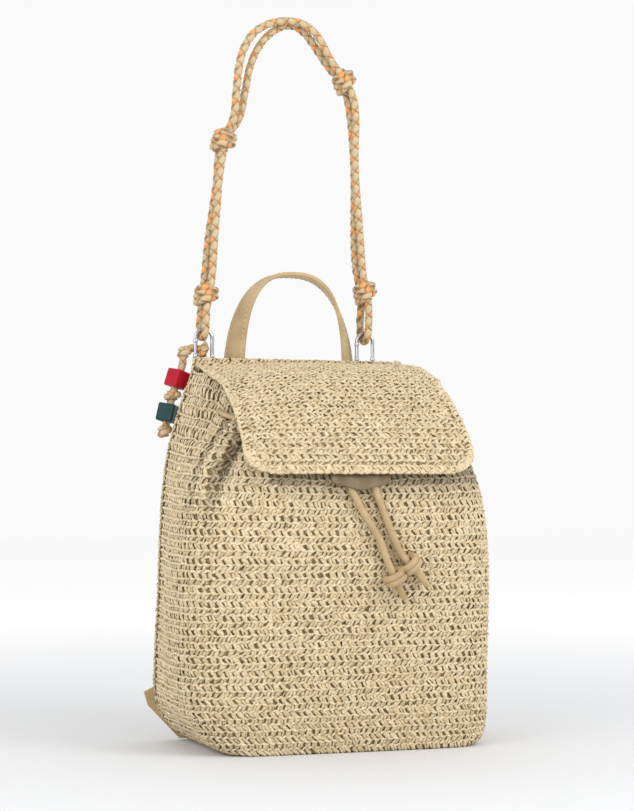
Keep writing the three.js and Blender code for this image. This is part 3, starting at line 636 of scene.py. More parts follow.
def backing(name, surface, columns, rows, sink, thickness, limit_y=None, material=LINING_IN_PAINTED_SHADE):
    """A thin closed wall under a surface, that doesn't reach past limit_y; by default in the dark lining,
    straw coloured as in painted shade.
    """
    u, v = np.meshgrid(np.linspace(0, 1, columns + 1), np.linspace(0, 1, rows + 1), indexing="ij")
    outer, normal = surface.at(u, v, np.full(u.shape, -sink))
    inner = outer - normal * thickness
    if limit_y is not None:
        inner[..., 1] = np.minimum(inner[..., 1], limit_y)
    heap = Heap()
    count = (columns + 1) * (rows + 1)
    index = np.arange(count).reshape(columns + 1, rows + 1)
    a, b, c, d = index[:-1, :-1], index[1:, :-1], index[1:, 1:], index[:-1, 1:]
    faces = [
        np.stack([a, b, c, d], -1).reshape(-1, 4),
        np.stack([a, d, c, b], -1).reshape(-1, 4) + count,
    ]
    for edge in (index[:, 0], index[-1, :], index[::-1, -1], index[0, ::-1]):
        faces.append(np.stack([edge[1:], edge[:-1], edge[:-1] + count, edge[1:] + count], -1))
    heap.add(np.concatenate([outer.reshape(-1, 3), inner.reshape(-1, 3)]), faces)
    return heap.build(name, material)


# The two legs of a crochet stitch in even and in odd rows. Each point is (across, up, lift): shares
# of the stitch and mm of lift
LEGS = (
    (
        ((0.34, -0.12, -1.3), (0.26, 0.2, -0.35), (0.08, 0.55, -0.15), (-0.1, 0.88, -0.5),
         (-0.16, 1.08, -1.4)),
        ((0.02, -0.12, -1.3), (-0.06, 0.2, -0.5), (-0.22, 0.55, -0.3), (-0.38, 0.86, -0.6),
         (-0.44, 1.05, -1.4)),
    ),
    (
        ((-0.3, -0.12, -1.3), (-0.22, 0.2, -0.55), (-0.02, 0.55, -0.4), (0.14, 0.88, -0.6),
         (0.2, 1.08, -1.4)),
        ((0.1, -0.12, -1.3), (0.18, 0.2, -0.6), (0.34, 0.55, -0.5), (0.5, 0.86, -0.6),
         (0.56, 1.05, -1.4)),
    ),
)
LEG_WIDTH = (0.49, 0.55)
LEG_TAPER = np.array([[0.7, 0.95, 1.15, 1.15, 0.85]])
ROW_SHADE = (1.0, 0.95)
WAVE_WIDTH = 0.46
WAVE_SWING = 0.15
STRAW_VARIATION = np.array([[0.1, 0.13, 0.2]])
STRAW_TILT = 0.4
STRAW_THICKNESS = 0.95
WAVE_THICKNESS = 1.05
PITCH_RANGE = (0.75, 1.15)
# Chance shifts of the legs: shares of a stitch, and mm for the lift
LEG_SHIFT = 0.08
LEG_LEAN = 0.14
LEG_WANDER = 0.03
LEG_RISE = 0.07
LEG_LIFT = 0.2
LEG_WIDTHS = (0.75, 1.2)
LEG_DARKER = 0.12
WAVE_RISE = 0.07
WAVE_WIDTHS = (0.8, 1.15)


def crochet(name, surface, column_u, row_v, seed, keep=None, sink=0.0, relief=1.0, shading=None,
            straw=1.0):
    """Rows of crocheted straw over a surface, between the given stitch and row edges. shading
    gives the straw's painted shade, as a brightness at places along and up the surface, straw its share of
    width."""
    random = np.random.default_rng(seed)
    heap = Heap()
    columns, rows = len(column_u) - 1, len(row_v) - 1
    column_index = np.arange(columns + 1)
    row_index = np.arange(rows + 1)

    def place(x, y, lift):
        u = np.interp(x, column_index, column_u)
        v = np.interp(y, row_index, row_v)
        return surface.at(u, v, lift - sink)

    for row in range(rows):
        kind = row % 2
        line, _ = place(np.linspace(0, columns, 2 * columns + 1), np.full(2 * columns + 1, row + 0.5), 0.0)
        pitch = np.linalg.norm(np.diff(line, axis=0), axis=1).reshape(-1, 2).sum(1)
        cell = np.arange(columns)
        if keep is not None:
            cell = cell[keep(column_u[:-1] + np.diff(column_u) / 2, (row_v[row] + row_v[row + 1]) / 2)]
            if len(cell) == 0:
                continue
        low, high = (share * STITCH_PITCH for share in PITCH_RANGE)
        pitch = np.clip(pitch[cell], low, high)[:, None]
        count = len(cell)
        shade = 1 - STRAW_VARIATION * random.random((count, 1))
        if shading is not None:
            spot = column_u[cell] + np.diff(column_u)[cell] / 2
            shade = shade * shading(spot, (row_v[row] + row_v[row + 1]) / 2)[:, None]
        for leg in LEGS[kind]:
            leg = np.array(leg)
            shift = random.normal(0, LEG_SHIFT, (count, 1))
            lean = random.normal(0, LEG_LEAN, (count, 1)) * (leg[None, :, 1] - 0.5)
            x = cell[:, None] + 0.5 + leg[None, :, 0] + shift + lean
            x = x + random.normal(0, LEG_WANDER, x.shape)
            y = row + leg[None, :, 1] + random.normal(0, LEG_RISE, (count, 1))
            lift = leg[None, :, 2] + random.normal(0, LEG_LIFT, (count, 1))
            lift = STRAW_TOP - STRAW_THICKNESS + relief * lift
            paths, normals = place(x, y, lift)
            width = straw * LEG_WIDTH[kind] * pitch * random.uniform(*LEG_WIDTHS, (count, 1)) * LEG_TAPER
            tone_and_painted_shade = shade * (1 - LEG_DARKER * random.random((count, 1))) * ROW_SHADE[kind]
            tilt = random.normal(0, STRAW_TILT, (count, 1)) + random.normal(0, 0.2, x.shape)
            ribbons(heap, paths, normals, width, STRAW_THICKNESS, tone_and_painted_shade, tilt)
        nodes = np.linspace(-0.56, 0.56, 5)
        x = cell[:, None] + 0.5 + nodes
        phase = 2 * math.pi * x
        jitter = random.normal(0, WAVE_RISE, columns + 2)
        wobble = np.interp(x, np.arange(columns + 2) - 0.5, jitter)
        y = row + 1.0 + WAVE_SWING * np.cos(phase + kind * math.pi) + wobble
        lift = STRAW_TOP - 1.1 + relief * (0.45 * np.cos(phase + 1.0) - 0.1)
        paths, normals = place(x, y, lift)
        width = WAVE_WIDTH * pitch * (1 + 0.3 * np.cos(phase + 2.2))
        width = width * random.uniform(*WAVE_WIDTHS, (count, 1))
        tilt = 0.45 * np.sin(phase + 0.5) + random.normal(0, 0.3, (count, 1))
        ribbons(heap, paths, normals, width, WAVE_THICKNESS, shade, tilt)
    return heap.build(name, STRAW)


def even_rows(surface, u, pitch):
    """Row edges of even length along the surface's line at u."""
    v = np.linspace(0, 1, 400)
    line, _ = surface.at(np.full(400, u), v)
    length = curve_length(line)
    rows = max(1, round(length[-1] / pitch))
    return np.interp(np.linspace(0, length[-1], rows + 1), length, v)


def rolled_edge(line, outward, face, inset_face, inset_behind, radius, samples=48):
    """Surface round an edge: from inset_face behind the edge on the face side, round a half circle
    of the radius, to inset_behind on the other side. line is the edge's middle; outward and face
    are unit vectors at each of its points."""
    arc = math.pi * radius
    total = inset_face + arc + inset_behind
    t = np.linspace(0, total, samples)
    angle = np.clip((t - inset_face) / radius, 0, math.pi)
    out = np.where(t < inset_face, t - inset_face, 0) + radius * np.sin(angle) - np.maximum(
        t - inset_face - arc, 0)
    rise = radius * np.cos(angle)
    points = line[:, None] + outward[:, None] * out[None, :, None] + face[:, None] * rise[None, :, None]
    middle = len(line) // 2
    return Surface(points).turned((middle, 0), face[middle]), total


def even_line(points, step):
    """The line's points at even steps."""
    length = curve_length(points)
    count = max(2, round(length[-1] / step))
    target = np.linspace(0, length[-1], count + 1)
    return np.stack([np.interp(target, length, points[:, axis]) for axis in range(3)], 1)


def build_body():
    u = np.linspace(0, 1, 281)
    surface = Surface(body_points(u, np.linspace(0, 1, 141)))
    wall = backing("body_backing", surface, 110, 60, BACKING_SINK, BACKING_THICKNESS, BACK_Y - GAP)
    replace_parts(wall, "body_wrap")
    rows = even_rows(surface, 0.5, ROW_PITCH)
    edges = np.linspace(0, 1, WRAP_STITCHES + 1)
    flap_edge_z = BAG_HEIGHT - FLAP_BACK_DROP - FLAP_DROP

    # Painted shade: a painted shadow under the flap, except on the left side, and darker pleat valleys
    def shading(u, v):
        spot, _ = surface.at(u, np.full(len(u), v))
        below = (flap_edge_z - spot[:, 2]) / FLAP_SHADE_REACH
        under = np.where(below > 0, np.exp(-below**2), 1) * (spot[:, 0] > -BAG_HALF_WIDTH / 2)
        valley = np.clip(pleat_valleys(u, v) / PLEATS[0][1], 0, 1)
        return (1 - FLAP_SHADE * under) * (1 - PLEAT_SHADE * valley)

    cuts = ((0, 22, "crochet_left"), (22, 39, "crochet_front_left"), (39, 56, "crochet_front_right"),
            (56, WRAP_STITCHES, "crochet_right"))
    for first, last, name in cuts:
        relief, straw = (1.0, 1.0) if "front" in name else (SIDE_RELIEF, SIDE_STRAW)
        piece = crochet(name, surface, edges[first:last + 1], rows, seed=first + 7, relief=relief,
                        shading=shading, straw=straw)
        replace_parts(piece, "body_wrap")


def seam_half_width(column, z):
    """Half width of the back panel at heights z."""
    rise = BODY_SECTIONS[:, 0] * BAG_HEIGHT
    place = np.interp(z, rise, np.arange(len(rise)))
    beyond = np.maximum(0, (z - rise[-1]) / (rise[-1] - rise[-2]))
    return BAG_HALF_WIDTH * (body_share(column, place) - SEAM_TAPER * beyond)


def build_back_panel():
    z = np.linspace(0, BAG_HEIGHT, 81)
    left = -seam_half_width("seam_left", z) - SEAM_LIP
    right = seam_half_width("seam_right", z) + SEAM_LIP
    share = np.linspace(0, 1, 41)[:, None]
    rear = BACK_Y + WALL
    x = right + (left - right) * share
    points = np.stack([x, np.full(x.shape, rear), np.broadcast_to(z, x.shape)], 2)
    surface = Surface(points).turned((20, 40), BACKWARDS)
    inner_x = (right - 2.5) + (left - right + 5) * share
    core = Surface(np.stack([inner_x, np.full(x.shape, rear), np.broadcast_to(z * 0.99 + 1, x.shape)], 2))
    core.normals = np.broadcast_to(BACKWARDS, core.normals.shape)
    plate = backing("back_panel_backing", core, 40, 60, 0.95, 1.1)
    rows = even_rows(surface, 0.5, ROW_PITCH)
    stitches = round(float(np.mean(right - left)) / STITCH_PITCH)
    field = crochet("crochet_back", surface, np.linspace(0.02, 0.98, stitches + 1), rows[:-1], seed=11)
    radius = WALL / 2 - ROLL_ROOM
    edge_left = np.stack([left + radius, np.full(81, rear - WALL / 2), z], 1)
    edge_right = np.stack([right - radius, np.full(81, rear - WALL / 2), z], 1)
    top = np.stack([np.linspace(left[-1], right[-1], 60)[1:-1],
                    np.full(58, rear - WALL / 2), np.full(58, BAG_HEIGHT - radius)], 1)
    for name, line, outward, inset in (
        ("back_seam_left", edge_left, (-1, 0, 0), 0.5),
        ("back_seam_right", edge_right, (1, 0, 0), 0.5),
        ("crochet_top_edge", top, (0, 0, 1), 9.5),
    ):
        outward = np.broadcast_to(np.array(outward, float), line.shape)
        face = np.broadcast_to(-BACKWARDS, line.shape)
        roll, total = rolled_edge(line, outward, face, inset, ROLL_BEHIND, radius)
        columns = round(curve_length(line)[-1] / STITCH_PITCH)
        edge_rows = np.linspace(0, 1, max(1, round(total / ROW_PITCH)) + 1)
        piece = crochet(name, roll, np.linspace(0, 1, columns + 1), edge_rows, seed=len(name),
                        relief=ROLL_RELIEF)
        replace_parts(piece, "back_panel")
    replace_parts(plate, "back_panel")
    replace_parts(field, "back_panel")


def build_base():
    line = body_outline(0.0)
    inset = WALL + GAP
    y = np.linspace(line[:, 1].min() + inset, BACK_Y - GAP - inset, 31)
    front = np.argmin(line[:, 1])
    left_x = np.interp(y, line[:front + 1, 1][::-1], line[:front + 1, 0][::-1]) + inset
    right_x = np.interp(y, line[front:, 1], line[front:, 0]) - inset
    share = np.linspace(0, 1, 41)[:, None]
    x = left_x + (right_x - left_x) * share
    points = np.stack([x, np.broadcast_to(y, x.shape), np.zeros(x.shape)], 2)
    surface = Surface(points).turned((20, 15), -UPWARDS)
    plate = backing("base_backing", surface, 40, 30, 1.4, 1.3)
    field = crochet("crochet_base", surface, np.linspace(0, 1, 31), np.linspace(0, 1, 21), seed=5, sink=0.5)
    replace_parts(plate, "base_panel")
    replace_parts(field, "base_panel")


def front_corner_lengths(inset):
    """Lengths from the flap's back along its sides and round its front corners, up to the inset."""
    corner = FLAP_CORNER - inset
    turn = FLAP_LENGTH - inset - corner * (1 - np.sin(np.linspace(0, math.pi / 2, 24)[1:]))
    return np.concatenate([np.linspace(0, FLAP_LENGTH - FLAP_CORNER, 60), turn])


def flap_outline(inset):
    """x and length of the flap's side and front edges, moved inwards, from back right to back left."""
    length = front_corner_lengths(0)
    left, right = flap_edges(length)
    front_x = np.linspace(right[-1], left[-1], 40)[1:-1]
    side_right = np.stack([right, length], 1)
    front = np.stack([front_x, np.full(38, FLAP_LENGTH)], 1)
    side_left = np.stack([left, length], 1)[::-1]
    line = np.concatenate([side_right, front, side_left])
    ahead = unit(np.gradient(line, axis=0))
    inward = np.stack([-ahead[:, 1], ahead[:, 0]], 1)
    middle = len(line) // 2
    if inward[middle, 1] > 0:
        inward = -inward
    return line + inward * inset, -inward


def flap_groove(x, length):
    """Depth of the groove inside the flap's hem."""
    left, right = flap_edges(length)
    inside = np.minimum(np.minimum(x - left, right - x), FLAP_LENGTH - length)
    corner_x = np.maximum(np.maximum(left + FLAP_CORNER - x, x - right + FLAP_CORNER), 0)
    corner_y = np.maximum(length - FLAP_LENGTH + FLAP_CORNER, 0)
    round_inside = FLAP_CORNER - np.hypot(corner_x, corner_y)
    in_corner = (corner_y > 0) & (corner_x > 0)
    inside = np.where(in_corner, np.minimum(inside, round_inside), inside)
    return HEM_GROOVE * swell(inside, HEM_WIDTH, HEM_GROOVE_WIDTH) * np.clip(length / HEM_FADE, 0, 1)


def flap_normal(x, length):
    step = 0.5
    across = flap_point(x + step, length) - flap_point(x - step, length)
    along = flap_point(x, np.minimum(length + step, FLAP_LENGTH)) - flap_point(x, length - step)
    normal = unit(np.cross(along, across))
    flip = np.where(normal[..., 2:] + 0 * normal < 0, -1, 1)
    return normal * flip


def build_flap():
    x = np.linspace(FLAP_HALF_WIDTH * FLAP_SPREAD, -FLAP_HALF_WIDTH, 121)[:, None]
    spots = np.broadcast_arrays(x, np.linspace(0, FLAP_LENGTH, 161))
    surface = Surface(flap_point(*spots)).turned((60, 20), UPWARDS)
    surface.points = surface.points - surface.normals * flap_groove(*spots)[..., None]

    def keep(u, v):
        along = v * FLAP_LENGTH
        spot = x[0, 0] + (x[-1, 0] - x[0, 0]) * u
        left, right = flap_edges(min(along + FLAP_TRIM, FLAP_LENGTH))
        inside = (spot > left + FLAP_TRIM) & (spot < right - FLAP_TRIM)
        return inside & (along < FLAP_LENGTH - FLAP_TRIM / 2)

    # Painted shade: the flap's straw is painted darker all over
    def shading(u, v):
        return np.full(len(u), FLAP_PAINTED_SHADE)

    stitches = round((x[0, 0] - x[-1, 0]) / STITCH_PITCH)
    rows = even_rows(surface, 0.5, FLAP_ROW_PITCH)
    field = crochet("crochet_flap", surface, np.linspace(0, 1, stitches + 1), rows, seed=3, keep=keep,
                    shading=shading)

    outline, outward = flap_outline(WALL / 2)
    line = flap_point(*outline.T)
    ahead = flap_point(outline[:, 0] + outward[:, 0], np.minimum(outline[:, 1] + outward[:, 1], FLAP_LENGTH))
    behind = flap_point(*(outline - outward).T)
    normal = flap_normal(*outline.T)
    roll, _ = rolled_edge(line - normal * WALL / 2, unit(ahead - behind), normal, FLAP_TRIM + 1.5, 1.0,
                          WALL / 2 - ROLL_ROOM)
    columns = round(curve_length(line)[-1] / (STITCH_PITCH * BORDER_PITCH))
    border = crochet("flap_border", roll, np.linspace(0, 1, columns + 1), np.linspace(0, 1, 3), seed=23,
                     relief=ROLL_RELIEF)

    share = np.linspace(0, 1, 81)[:, None]
    lengths = front_corner_lengths(BACKING_FRONT_INSET)
    left, right = flap_edges(lengths)
    spread = (right - BACKING_SIDE_INSET) + (left - right + 2 * BACKING_SIDE_INSET) * share
    trimmed = Surface(flap_point(*np.broadcast_arrays(spread, lengths))).turned((40, 20), UPWARDS)
    wall = backing("flap_backing", trimmed, 60, 60, BACKING_SINK - 0.5, 0.7, BACK_Y - GAP)
    facing = backing("flap_facing", trimmed, 60, 60, BACKING_SINK + 0.3, 0.65, BACK_Y - GAP, LEATHER)
    for piece in (field, border, wall, facing):
        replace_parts(piece, "flap")


# Smooth round pieces along lines
def smooth_line(points, step):
    """A smooth curve through given points, at even steps."""
    points = np.asarray(points, float)
    padded = np.concatenate([[2 * points[0] - points[1]], points, [2 * points[-1] - points[-2]]])
    knots = np.concatenate([[0], np.cumsum(np.diff(curve_length(padded)) ** 0.5)])
    line = []
    for i in range(1, len(padded) - 2):
        times = knots[i - 1:i + 3]
        t = np.linspace(times[1], times[2], 24, endpoint=i == len(padded) - 3)[:, None]
        level = padded[i - 1:i + 3]
        for spans in (((0, 1), (1, 2), (2, 3)), ((0, 2), (1, 3)), ((1, 2),)):
            level = [((times[b] - t) * level[n] + (t - times[a]) * level[n + 1]) / (times[b] - times[a])
                     for n, (a, b) in enumerate(spans)]
        line.append(level[0])
    return even_line(np.concatenate(line), step)


def carried_frames(line):
    """Tangents and two directions across, carried along the line without twist."""
    tangent = unit(np.gradient(line, axis=0))
    side = np.zeros_like(line)
    start = BACKWARDS if abs(tangent[0, 1]) < 0.9 else np.array((1.0, 0.0, 0.0))
    side[0] = unit(start - tangent[0] * np.dot(start, tangent[0]))
    for i in range(1, len(line)):
        carried = side[i - 1] - tangent[i] * np.dot(side[i - 1], tangent[i])
        side[i] = carried / np.linalg.norm(carried)
    return tangent, side, np.cross(tangent, side)


def round_tube(heap, line, radius, sides=14, tone_and_painted_shade=(1, 1, 1)):
    """A round tube; radius is one number or one for each point."""
    _, side, up = carried_frames(line)
    angle = np.linspace(0, 2 * math.pi, sides, endpoint=False)
    radius = np.broadcast_to(radius, len(line))[:, None, None]
    ring = side[:, None] * np.cos(angle)[None, :, None] + up[:, None] * np.sin(angle)[None, :, None]
    points = line[:, None] + ring * radius
    heap.add(points, strip_faces(1, len(line), sides), tone_and_painted_shade)


def braid(heap, line, diameter, phase=0.0, sides=9):
    """Four strands crossing over and under each other round the line, one of them coloured, each painted
    darker where it dives under another and along its edges.
    """
    scale = diameter / CORD_DIAMETER
    tangent, side, up = carried_frames(line)
    s = curve_length(line)
    turn = math.pi / (BRAID_LEAF * scale) * s + phase
    swing = BRAID_SWING * np.sin(2 * turn)
    angle = np.linspace(0, 2 * math.pi, sides, endpoint=False)
    for strand in range(4):
        way = 1 if strand < 2 else -1
        theta = way * (turn - swing) + math.pi * (strand % 2)
        over = way * np.cos(2 * theta)
        radius = (BRAID_MIDDLE + BRAID_CROSSING * over) * scale
        outward = side * np.cos(theta)[:, None] + up * np.sin(theta)[:, None]
        centre = line + outward * radius[:, None]
        along = unit(np.gradient(centre, axis=0))
        out = unit(outward - along * np.sum(outward * along, 1, keepdims=True))
        across = np.cross(along, out)
        shown = np.clip(0.5 + 0.9 * over, 0, 1)
        leaf = (BRAID_WIDE * scale * (0.7 + 0.3 * shown))[:, None, None]
        wide = leaf * np.cos(angle)[None, :, None] * across[:, None]
        thick = BRAID_THICK * scale * np.sin(angle)[None, :, None] * out[:, None]
        colour = np.array(BRAID_ACCENT if strand == 3 else BRAID_BEIGE)
        # Painted shade: darker along each strand's edges, where it meets its neighbours, and where it dives
        # under another
        edge = 1 - 0.4 * np.abs(np.cos(angle))[None, :] ** 6
        shade = (BRAID_SHADE + (1 - BRAID_SHADE) * shown)[:, None] * edge
        tone_and_painted_shade = shade[..., None] * colour
        heap.add(centre[:, None] + wide + thick, strip_faces(1, len(line), sides), tone_and_painted_shade.reshape(-1, 3))


def coil_line(centre, lean, width, height, rope, turns, slant=0.55, step=1.0, start=0.0):
    """A rope's line wound round an upright axis, with both ends tucked in."""
    t = np.linspace(0, 1, 160)
    phi = start + 2 * math.pi * turns * t
    tuck = np.clip(np.minimum(t, 1 - t) / 0.09, 0, 1)
    radius = (width - rope) / 2 * (0.25 + 0.75 * tuck) * (0.9 + 0.1 * np.sin(math.pi * t))
    rise = (height - rope) * (t - 0.5) + slant * rope * 0.5 * np.cos(phi - start)
    points = np.stack([radius * np.cos(phi), radius * np.sin(phi), rise], 1)
    cos, sin = math.cos(lean), math.sin(lean)
    tilted = np.stack([points[:, 0] * cos + points[:, 2] * sin, points[:, 1],
                       -points[:, 0] * sin + points[:, 2] * cos], 1)
    return even_line(tilted + np.asarray(centre, float), step)


# Routes in bag millimetres, the same points as the solids'
LOOP_LEFT = (
    (-77, 64, 366), (-79, 61.4, 357), (-80, 60.2, 347), (-80.3, 60.1, 339), (-80.9, 61.4, 333.6),
    (-81.3, 65.5, 331.3), (-81.8, 69.6, 333.6), (-82.2, 70.9, 339), (-82.2, 70.8, 347),
    (-81.4, 69.6, 357),
)
LOOP_RIGHT = (
    (63.7, 61.4, 362), (63.5, 60.2, 350), (63, 60.1, 340), (62, 61.4, 333.6), (61.3, 65.5, 331.3),
    (60.6, 69.6, 333.6), (59.7, 70.9, 340), (59.5, 70.8, 350), (60.2, 69.6, 362), (61, 68, 372),
)
STRAP_A = (
    (-80.6, 69.5, 367.2), (-78.1, 69.5, 388.3), (-75.1, 69.5, 417.8), (-71.3, 69.5, 443.3),
    (-68.3, 69.5, 464.5), (-67.1, 69.5, 483.2), (-64.2, 66.5, 497.4), (-56, 62.5, 516.5),
    (-53.4, 62.5, 540.3), (-51, 62.5, 561.7), (-46.5, 62.5, 577), (-38, 62.5, 590),
    (-26.5, 62.5, 597.8), (-12.1, 62.5, 602), (2.5, 62.5, 601.4), (13.5, 62.5, 595.9),
    (21.9, 62.5, 586), (28.5, 62.5, 574.1), (35.5, 62.5, 564), (43.5, 62.6, 554.4),
    (50.8, 62.5, 538.5), (52.8, 62.5, 521.2), (52, 62.5, 495.3), (52.6, 62.5, 469.5),
    (55.4, 62.5, 435.2), (57.3, 62.5, 409.5), (58.9, 62.5, 390.6), (61.8, 62.6, 373.5),
)
STRAP_B = (
    (-76.4, 62.5, 366.6), (-73.9, 62.5, 387.6), (-72.2, 62.5, 417), (-70.1, 62.5, 442.3),
    (-68.6, 62.5, 463.4), (-65.9, 62.5, 482.1), (-62.6, 66, 497.4), (-49, 69.5, 518.3),
    (-43.8, 69.5, 542.4), (-39.6, 69.5, 562.6), (-32.5, 69.5, 579), (-23, 69.5, 591),
    (-11.6, 69.5, 598.6), (-1.5, 69.5, 600), (7, 69.5, 596), (14.6, 69.5, 588.2),
    (22, 69.5, 578), (30.9, 69.5, 566.2), (42.5, 69.4, 554), (47.6, 69.5, 539.6),
    (50.4, 69.5, 522.4), (52.8, 69.5, 496.6), (53.8, 69.5, 470.6), (53.6, 69.5, 436),
    (53.9, 69.5, 410.2), (55.6, 69.5, 391.2), (59.8, 69.4, 374.2),
)
CHARM = (
    (-81.3, 67, 320.6), (-84.5, 71, 322), (-89.5, 72.3, 322.5), (-95.1, 71.5, 319.2),
    (-97.6, 71, 307.6), (-101.6, 71, 296), (-105.7, 71, 282.7), (-109.4, 71, 268.2),
    (-112.1, 71, 253.2),
)
STRAP_NODES_A = ("strap_loop_left", "strap_left_a", "strap_top_a", "strap_right_a", "strap_loop_right")
STRAP_NODES_B = ("strap_left_b", "strap_top_b", "strap_right_b")
CHARM_NODES = ("charm_cord_top", "charm_cord_middle", "charm_cord_low")
# Knots: centre, lean, width, height, rope diameter and turns
KNOTS = {
    "strap_knot_left_low": ((-78.5, 66, 366.9), 0.1, 21, 21.5, 6.6, 2.9),
    "strap_knot_left_high": ((-63.5, 66, 497.4), 0.25, 21.5, 22.5, 6.6, 2.9),
    "strap_knot_right_high": ((43.5, 66, 554.4), -0.4, 21, 21.5, 6.6, 2.9),
    "strap_knot_right_low": ((62, 66, 373.6), -0.2, 21, 21.5, 6.6, 2.9),
    "stopper_knot": ((-81.3, 64, 320.4), 0, 10.2, 14, 5, 2),
    "charm_knot_top": ((-95.1, 71.5, 319.2), 0.2, 12.5, 12.5, 5.6, 1.8),
    "charm_knot_middle": ((-105.7, 71, 282.7), 0.3, 14.5, 10, 5.6, 1.5),
    "charm_knot_end": ((-112.1, 71, 253.2), 0.1, 12.5, 12.5, 5.6, 1.8),
}


def braided_cord(name, points, nodes):
    line = smooth_line(points, 1.15)
    heap = Heap()
    braid(heap, line, CORD_DIAMETER)
    piece = heap.build(name, CORD)
    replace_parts(piece, *nodes)


def build_strap():
    knots = {}
    for name, (centre, lean, width, height, rope, turns) in KNOTS.items():
        heap = Heap()
        line = coil_line(centre, lean, width, height, rope, turns)
        braid(heap, line, rope, phase=0.8)
        knots[name] = heap.build(name + "_wraps", CORD)
        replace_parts(knots[name], name)
    braided_cord("strap_cord_a", LOOP_LEFT + STRAP_A + LOOP_RIGHT, STRAP_NODES_A)
    braided_cord("strap_cord_b", STRAP_B, STRAP_NODES_B)
    cubes = [build_cube(*cube) for cube in CUBES]
    braided_cord("charm_cord", CHARM, CHARM_NODES)


# Cubes: node, material, slot, centre, direction of the cord and turn about it
CUBES = (
    ("red_cube", RED, "red_bead", (-101.4, 71, 296.4), (7.6, 0, 24.8), 0.5),
    ("teal_cube", TEAL, "teal_bead", (-109.4, 71, 268), (6.4, 0, 29.5), 0.95),
)


def build_cube(node, material, slot, centre, along, turn):
    """A drilled cube with round edges."""
    bpy.ops.mesh.primitive_cube_add(size=BEAD_SIZE * MM)
    piece = bpy.context.object
    piece.name = node + "_bead"
    bpy.ops.mesh.primitive_cylinder_add(radius=BEAD_BORE / 2 * MM, depth=2 * BEAD_SIZE * MM, vertices=32)
    drill = bpy.context.object
    bore = piece.modifiers.new("bore", "BOOLEAN")
    bore.object = drill
    bore.solver = "EXACT"
    rounding = piece.modifiers.new("rounding", "BEVEL")
    rounding.width = BEAD_ROUND * MM
    rounding.segments = 4
    rounding.angle_limit = math.radians(40)
    bpy.context.view_layer.update()
    graph = bpy.context.evaluated_depsgraph_get()
    shaped = bpy.data.meshes.new_from_object(piece.evaluated_get(graph))
    piece.modifiers.clear()
    piece.data = shaped
    bpy.data.objects.remove(drill)
    shaped.materials.clear()
    shaped.materials.append(material)
    for polygon in shaped.polygons:
        polygon.use_smooth = True
    upright = Vector((0, 0, 1)).rotation_difference(Vector(along).normalized())
    spin = Matrix.Rotation(turn, 4, "Z")
    piece.matrix_world = Matrix.Translation(to_row(centre)) @ upright.to_matrix().to_4x4() @ spin
    weighted = piece.modifiers.new("even_faces", "WEIGHTED_NORMAL")
    weighted.keep_sharp = True
    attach(piece, "root")
    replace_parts(piece, node)
    return piece


# Leather
def rounded_section(width, thickness, rounding=0.8, arc=4):
    """Outline of a flat band's section with rounded edges."""
    points = []
    for cx, cy, start in ((1, 1, 0), (-1, 1, 90), (-1, -1, 180), (1, -1, 270)):
        for n in range(arc + 1):
            angle = math.radians(start + 90 * n / arc)
            points.append((cx * (width / 2 - rounding) + rounding * math.cos(angle),
                           cy * (thickness / 2 - rounding) + rounding * math.sin(angle)))
    return np.array(points)


def leather_band(heap, centres, across, normals, width, thickness):
    section = rounded_section(width, thickness, min(0.9, thickness / 2 - 0.05))
    points = (centres[:, None] + across[:, None] * section[None, :, :1]
              + normals[:, None] * section[None, :, 1:])
    heap.add(points, strip_faces(1, len(centres), len(section)))


def stitch_row(heap, line, normals):
    """A row of stitches lying on a surface along a line."""
    total = curve_length(line)
    count = int(total[-1] / STITCH_SPACING)
    middle = (np.arange(count) + 0.5) * total[-1] / count
    lat = np.linspace(0, math.pi, STITCH_RINGS)[:, None]
    lon = np.linspace(0, 2 * math.pi, STITCH_SIDES, endpoint=False)[None, :]
    around = (np.sin(lat) * np.cos(lon), np.sin(lat) * np.sin(lon))
    ball = np.stack([-np.cos(lat) + 0 * lon, *around], -1).reshape(-1, 3)

    def along(target, values):
        return np.stack([np.interp(target, total, values[:, axis]) for axis in range(3)], -1)

    centre = along(middle, line)
    normal = unit(along(middle, normals))
    ahead = unit(along(middle + 0.5, line) - along(middle - 0.5, line))
    side = np.cross(normal, ahead)
    points = (centre[:, None] + ahead[:, None] * ball[None, :, :1] * STITCH_LENGTH / 2
              + side[:, None] * ball[None, :, 1:2] * STITCH_RADIUS
              + normal[:, None] * (ball[None, :, 2:] * STITCH_RADIUS * STITCH_FLATNESS + STITCH_LIFT))
    heap.add(points, strip_faces(count, STITCH_RINGS, STITCH_SIDES, closed_ends=False))


def edge_stitches(name, centre, across, normal, width, thickness):
    """Rows of stitches near both edges of a band, on both of its faces."""
    seams = Heap()
    for edge in (-1, 1):
        for face in (-1, 1):
            line = centre + across * edge * (width / 2 - STITCH_INSET) + normal * face * thickness / 2
            stitch_row(seams, line, normal * face)
    return seams.build(name, THREAD)


def handle_twist(z):
    """Turn of the handle's band about its length: across the bag at the feet, along it at the top."""
    leave = HANDLE_FOOT_Z + HANDLE_FOOT_LENGTH
    climb = np.clip((z - leave) / (BAG_HEIGHT - leave), 0, 1)
    low = math.pi / 2 + (HANDLE_LEG_TWIST - math.pi / 2) * climb
    climb = np.clip((z - BAG_HEIGHT) / (HANDLE_APEX_Z - BAG_HEIGHT), 0, 1)
    high = HANDLE_LEG_TWIST * (1 - climb**HANDLE_TWIST_POWER)
    return np.where(z <= BAG_HEIGHT, low, high)


